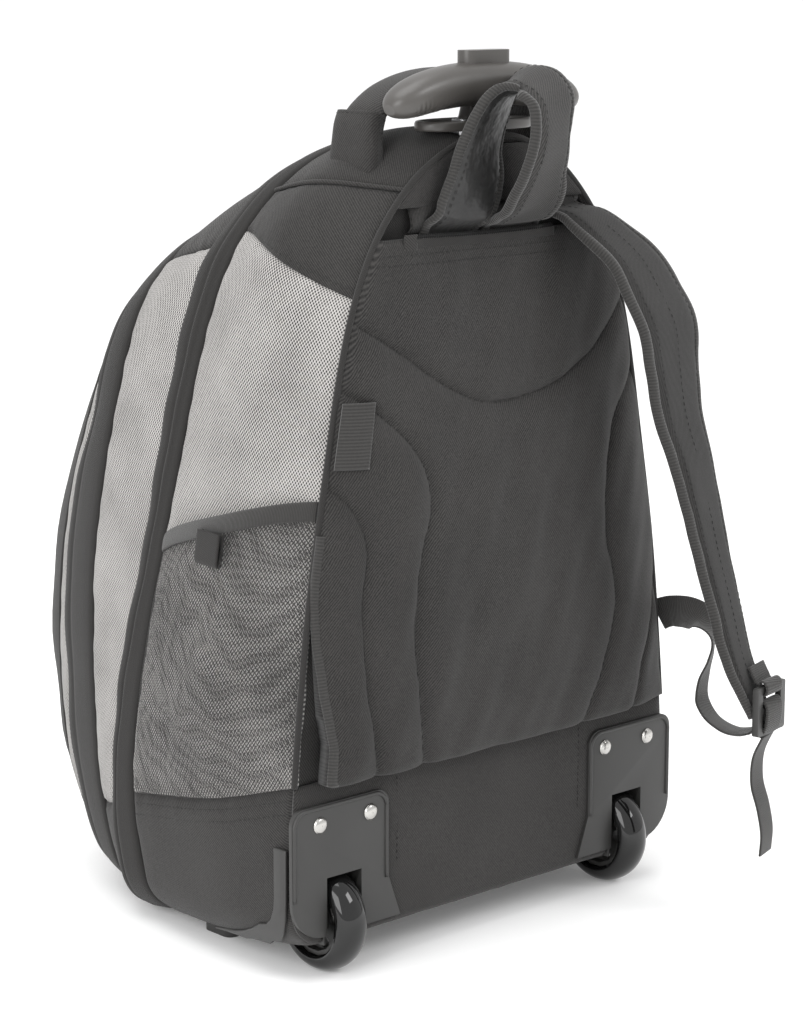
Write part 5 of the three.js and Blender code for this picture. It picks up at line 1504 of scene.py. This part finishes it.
GRIP_HALF, GRIP_HEIGHT, GRIP_END, GRIP_DEPTH = 73.0, 25.0, 21.0, 28.0
GRIP_DROOP, GRIP_LEAN, GRIP_Z = 13.0, 8.0, 508.5


def trolley_grip():
    """The grip, with finger ribs under its left half."""
    s = np.sin(np.linspace(-1, 1, 141) * math.pi / 2)
    fullness = np.sqrt(np.clip(1 - 0.9 * s ** 8, 0, 1))
    fullness[[0, -1]] *= 0.86
    middle = np.stack([s * GRIP_HALF, np.full_like(s, GRIP_LEAN), GRIP_Z - GRIP_DROOP * np.abs(s) ** 2.4], -1)
    along, side, up = frame_of(middle, np.repeat([[0, 1.0, 0]], len(middle), 0))
    tall = (GRIP_HEIGHT + (GRIP_END - GRIP_HEIGHT) * s * s) / 2 * fullness
    deep = GRIP_DEPTH / 2 * fullness
    shape = ring(1, 1, 48, 2.3)
    section = shape[None] * np.stack([deep, tall], -1)[:, None]
    x = middle[:, 0]
    ribbed = np.clip((x - 14) / 4, 0, 1) * np.clip((64 - x) / 4, 0, 1)
    under = np.clip(-np.sign(up[0, 2]) * shape[:, 1] - 0.1, 0, 1) ** 0.5
    rib = 1 - 0.055 * (0.5 + 0.5 * np.sin(x / 3.1 * 2 * math.pi))[:, None] * ribbed[:, None] * under[None]
    grip = sweep("trolley_grip_moulded", middle, side, up, section * rib[..., None])
    dress(grip, M_GRIP, "trolley_grip", ["trolley_grip"])


trolley_grip()

# Floor and light
bpy.ops.mesh.primitive_plane_add(size=80, location=(0, 0, 0))
floor = bpy.context.object
floor.name = "floor"
floor_mat, floor_tree, floor_shader = material("pale_floor", (0.95, 0.95, 0.95), 0.9)
floor_shader.inputs["Specular IOR Level"].default_value = 0.1
floor_shader.inputs["Emission Color"].default_value = (1, 1, 1, 1)
floor_shader.inputs["Emission Strength"].default_value = 0.08
floor.data.materials.append(floor_mat)

world = bpy.data.worlds.new("world")
world.use_nodes = True
world.node_tree.nodes["Background"].inputs[0].default_value = (1, 1, 1, 1)
world.node_tree.nodes["Background"].inputs[1].default_value = 1.0
bpy.context.scene.world = world


def area_light(name, at, target, size, power):
    data = bpy.data.lights.new(name, "AREA")
    data.energy = power
    data.size = size
    lamp = bpy.data.objects.new(name, data)
    bpy.context.scene.collection.objects.link(lamp)
    lamp.location = at
    direction = Vector(target) - Vector(at)
    lamp.rotation_euler = direction.to_track_quat("-Z", "Y").to_euler()


area_light("key", (-1.1, 2.5, 2.3), (0, 0, 0.25), 1.1, 26)
area_light("top", (0.4, -0.2, 3.0), (0, 0, 0.25), 2.2, 42)
area_light("fill", (2.8, 1.0, 1.4), (0, 0, 0.25), 2.0, 52)
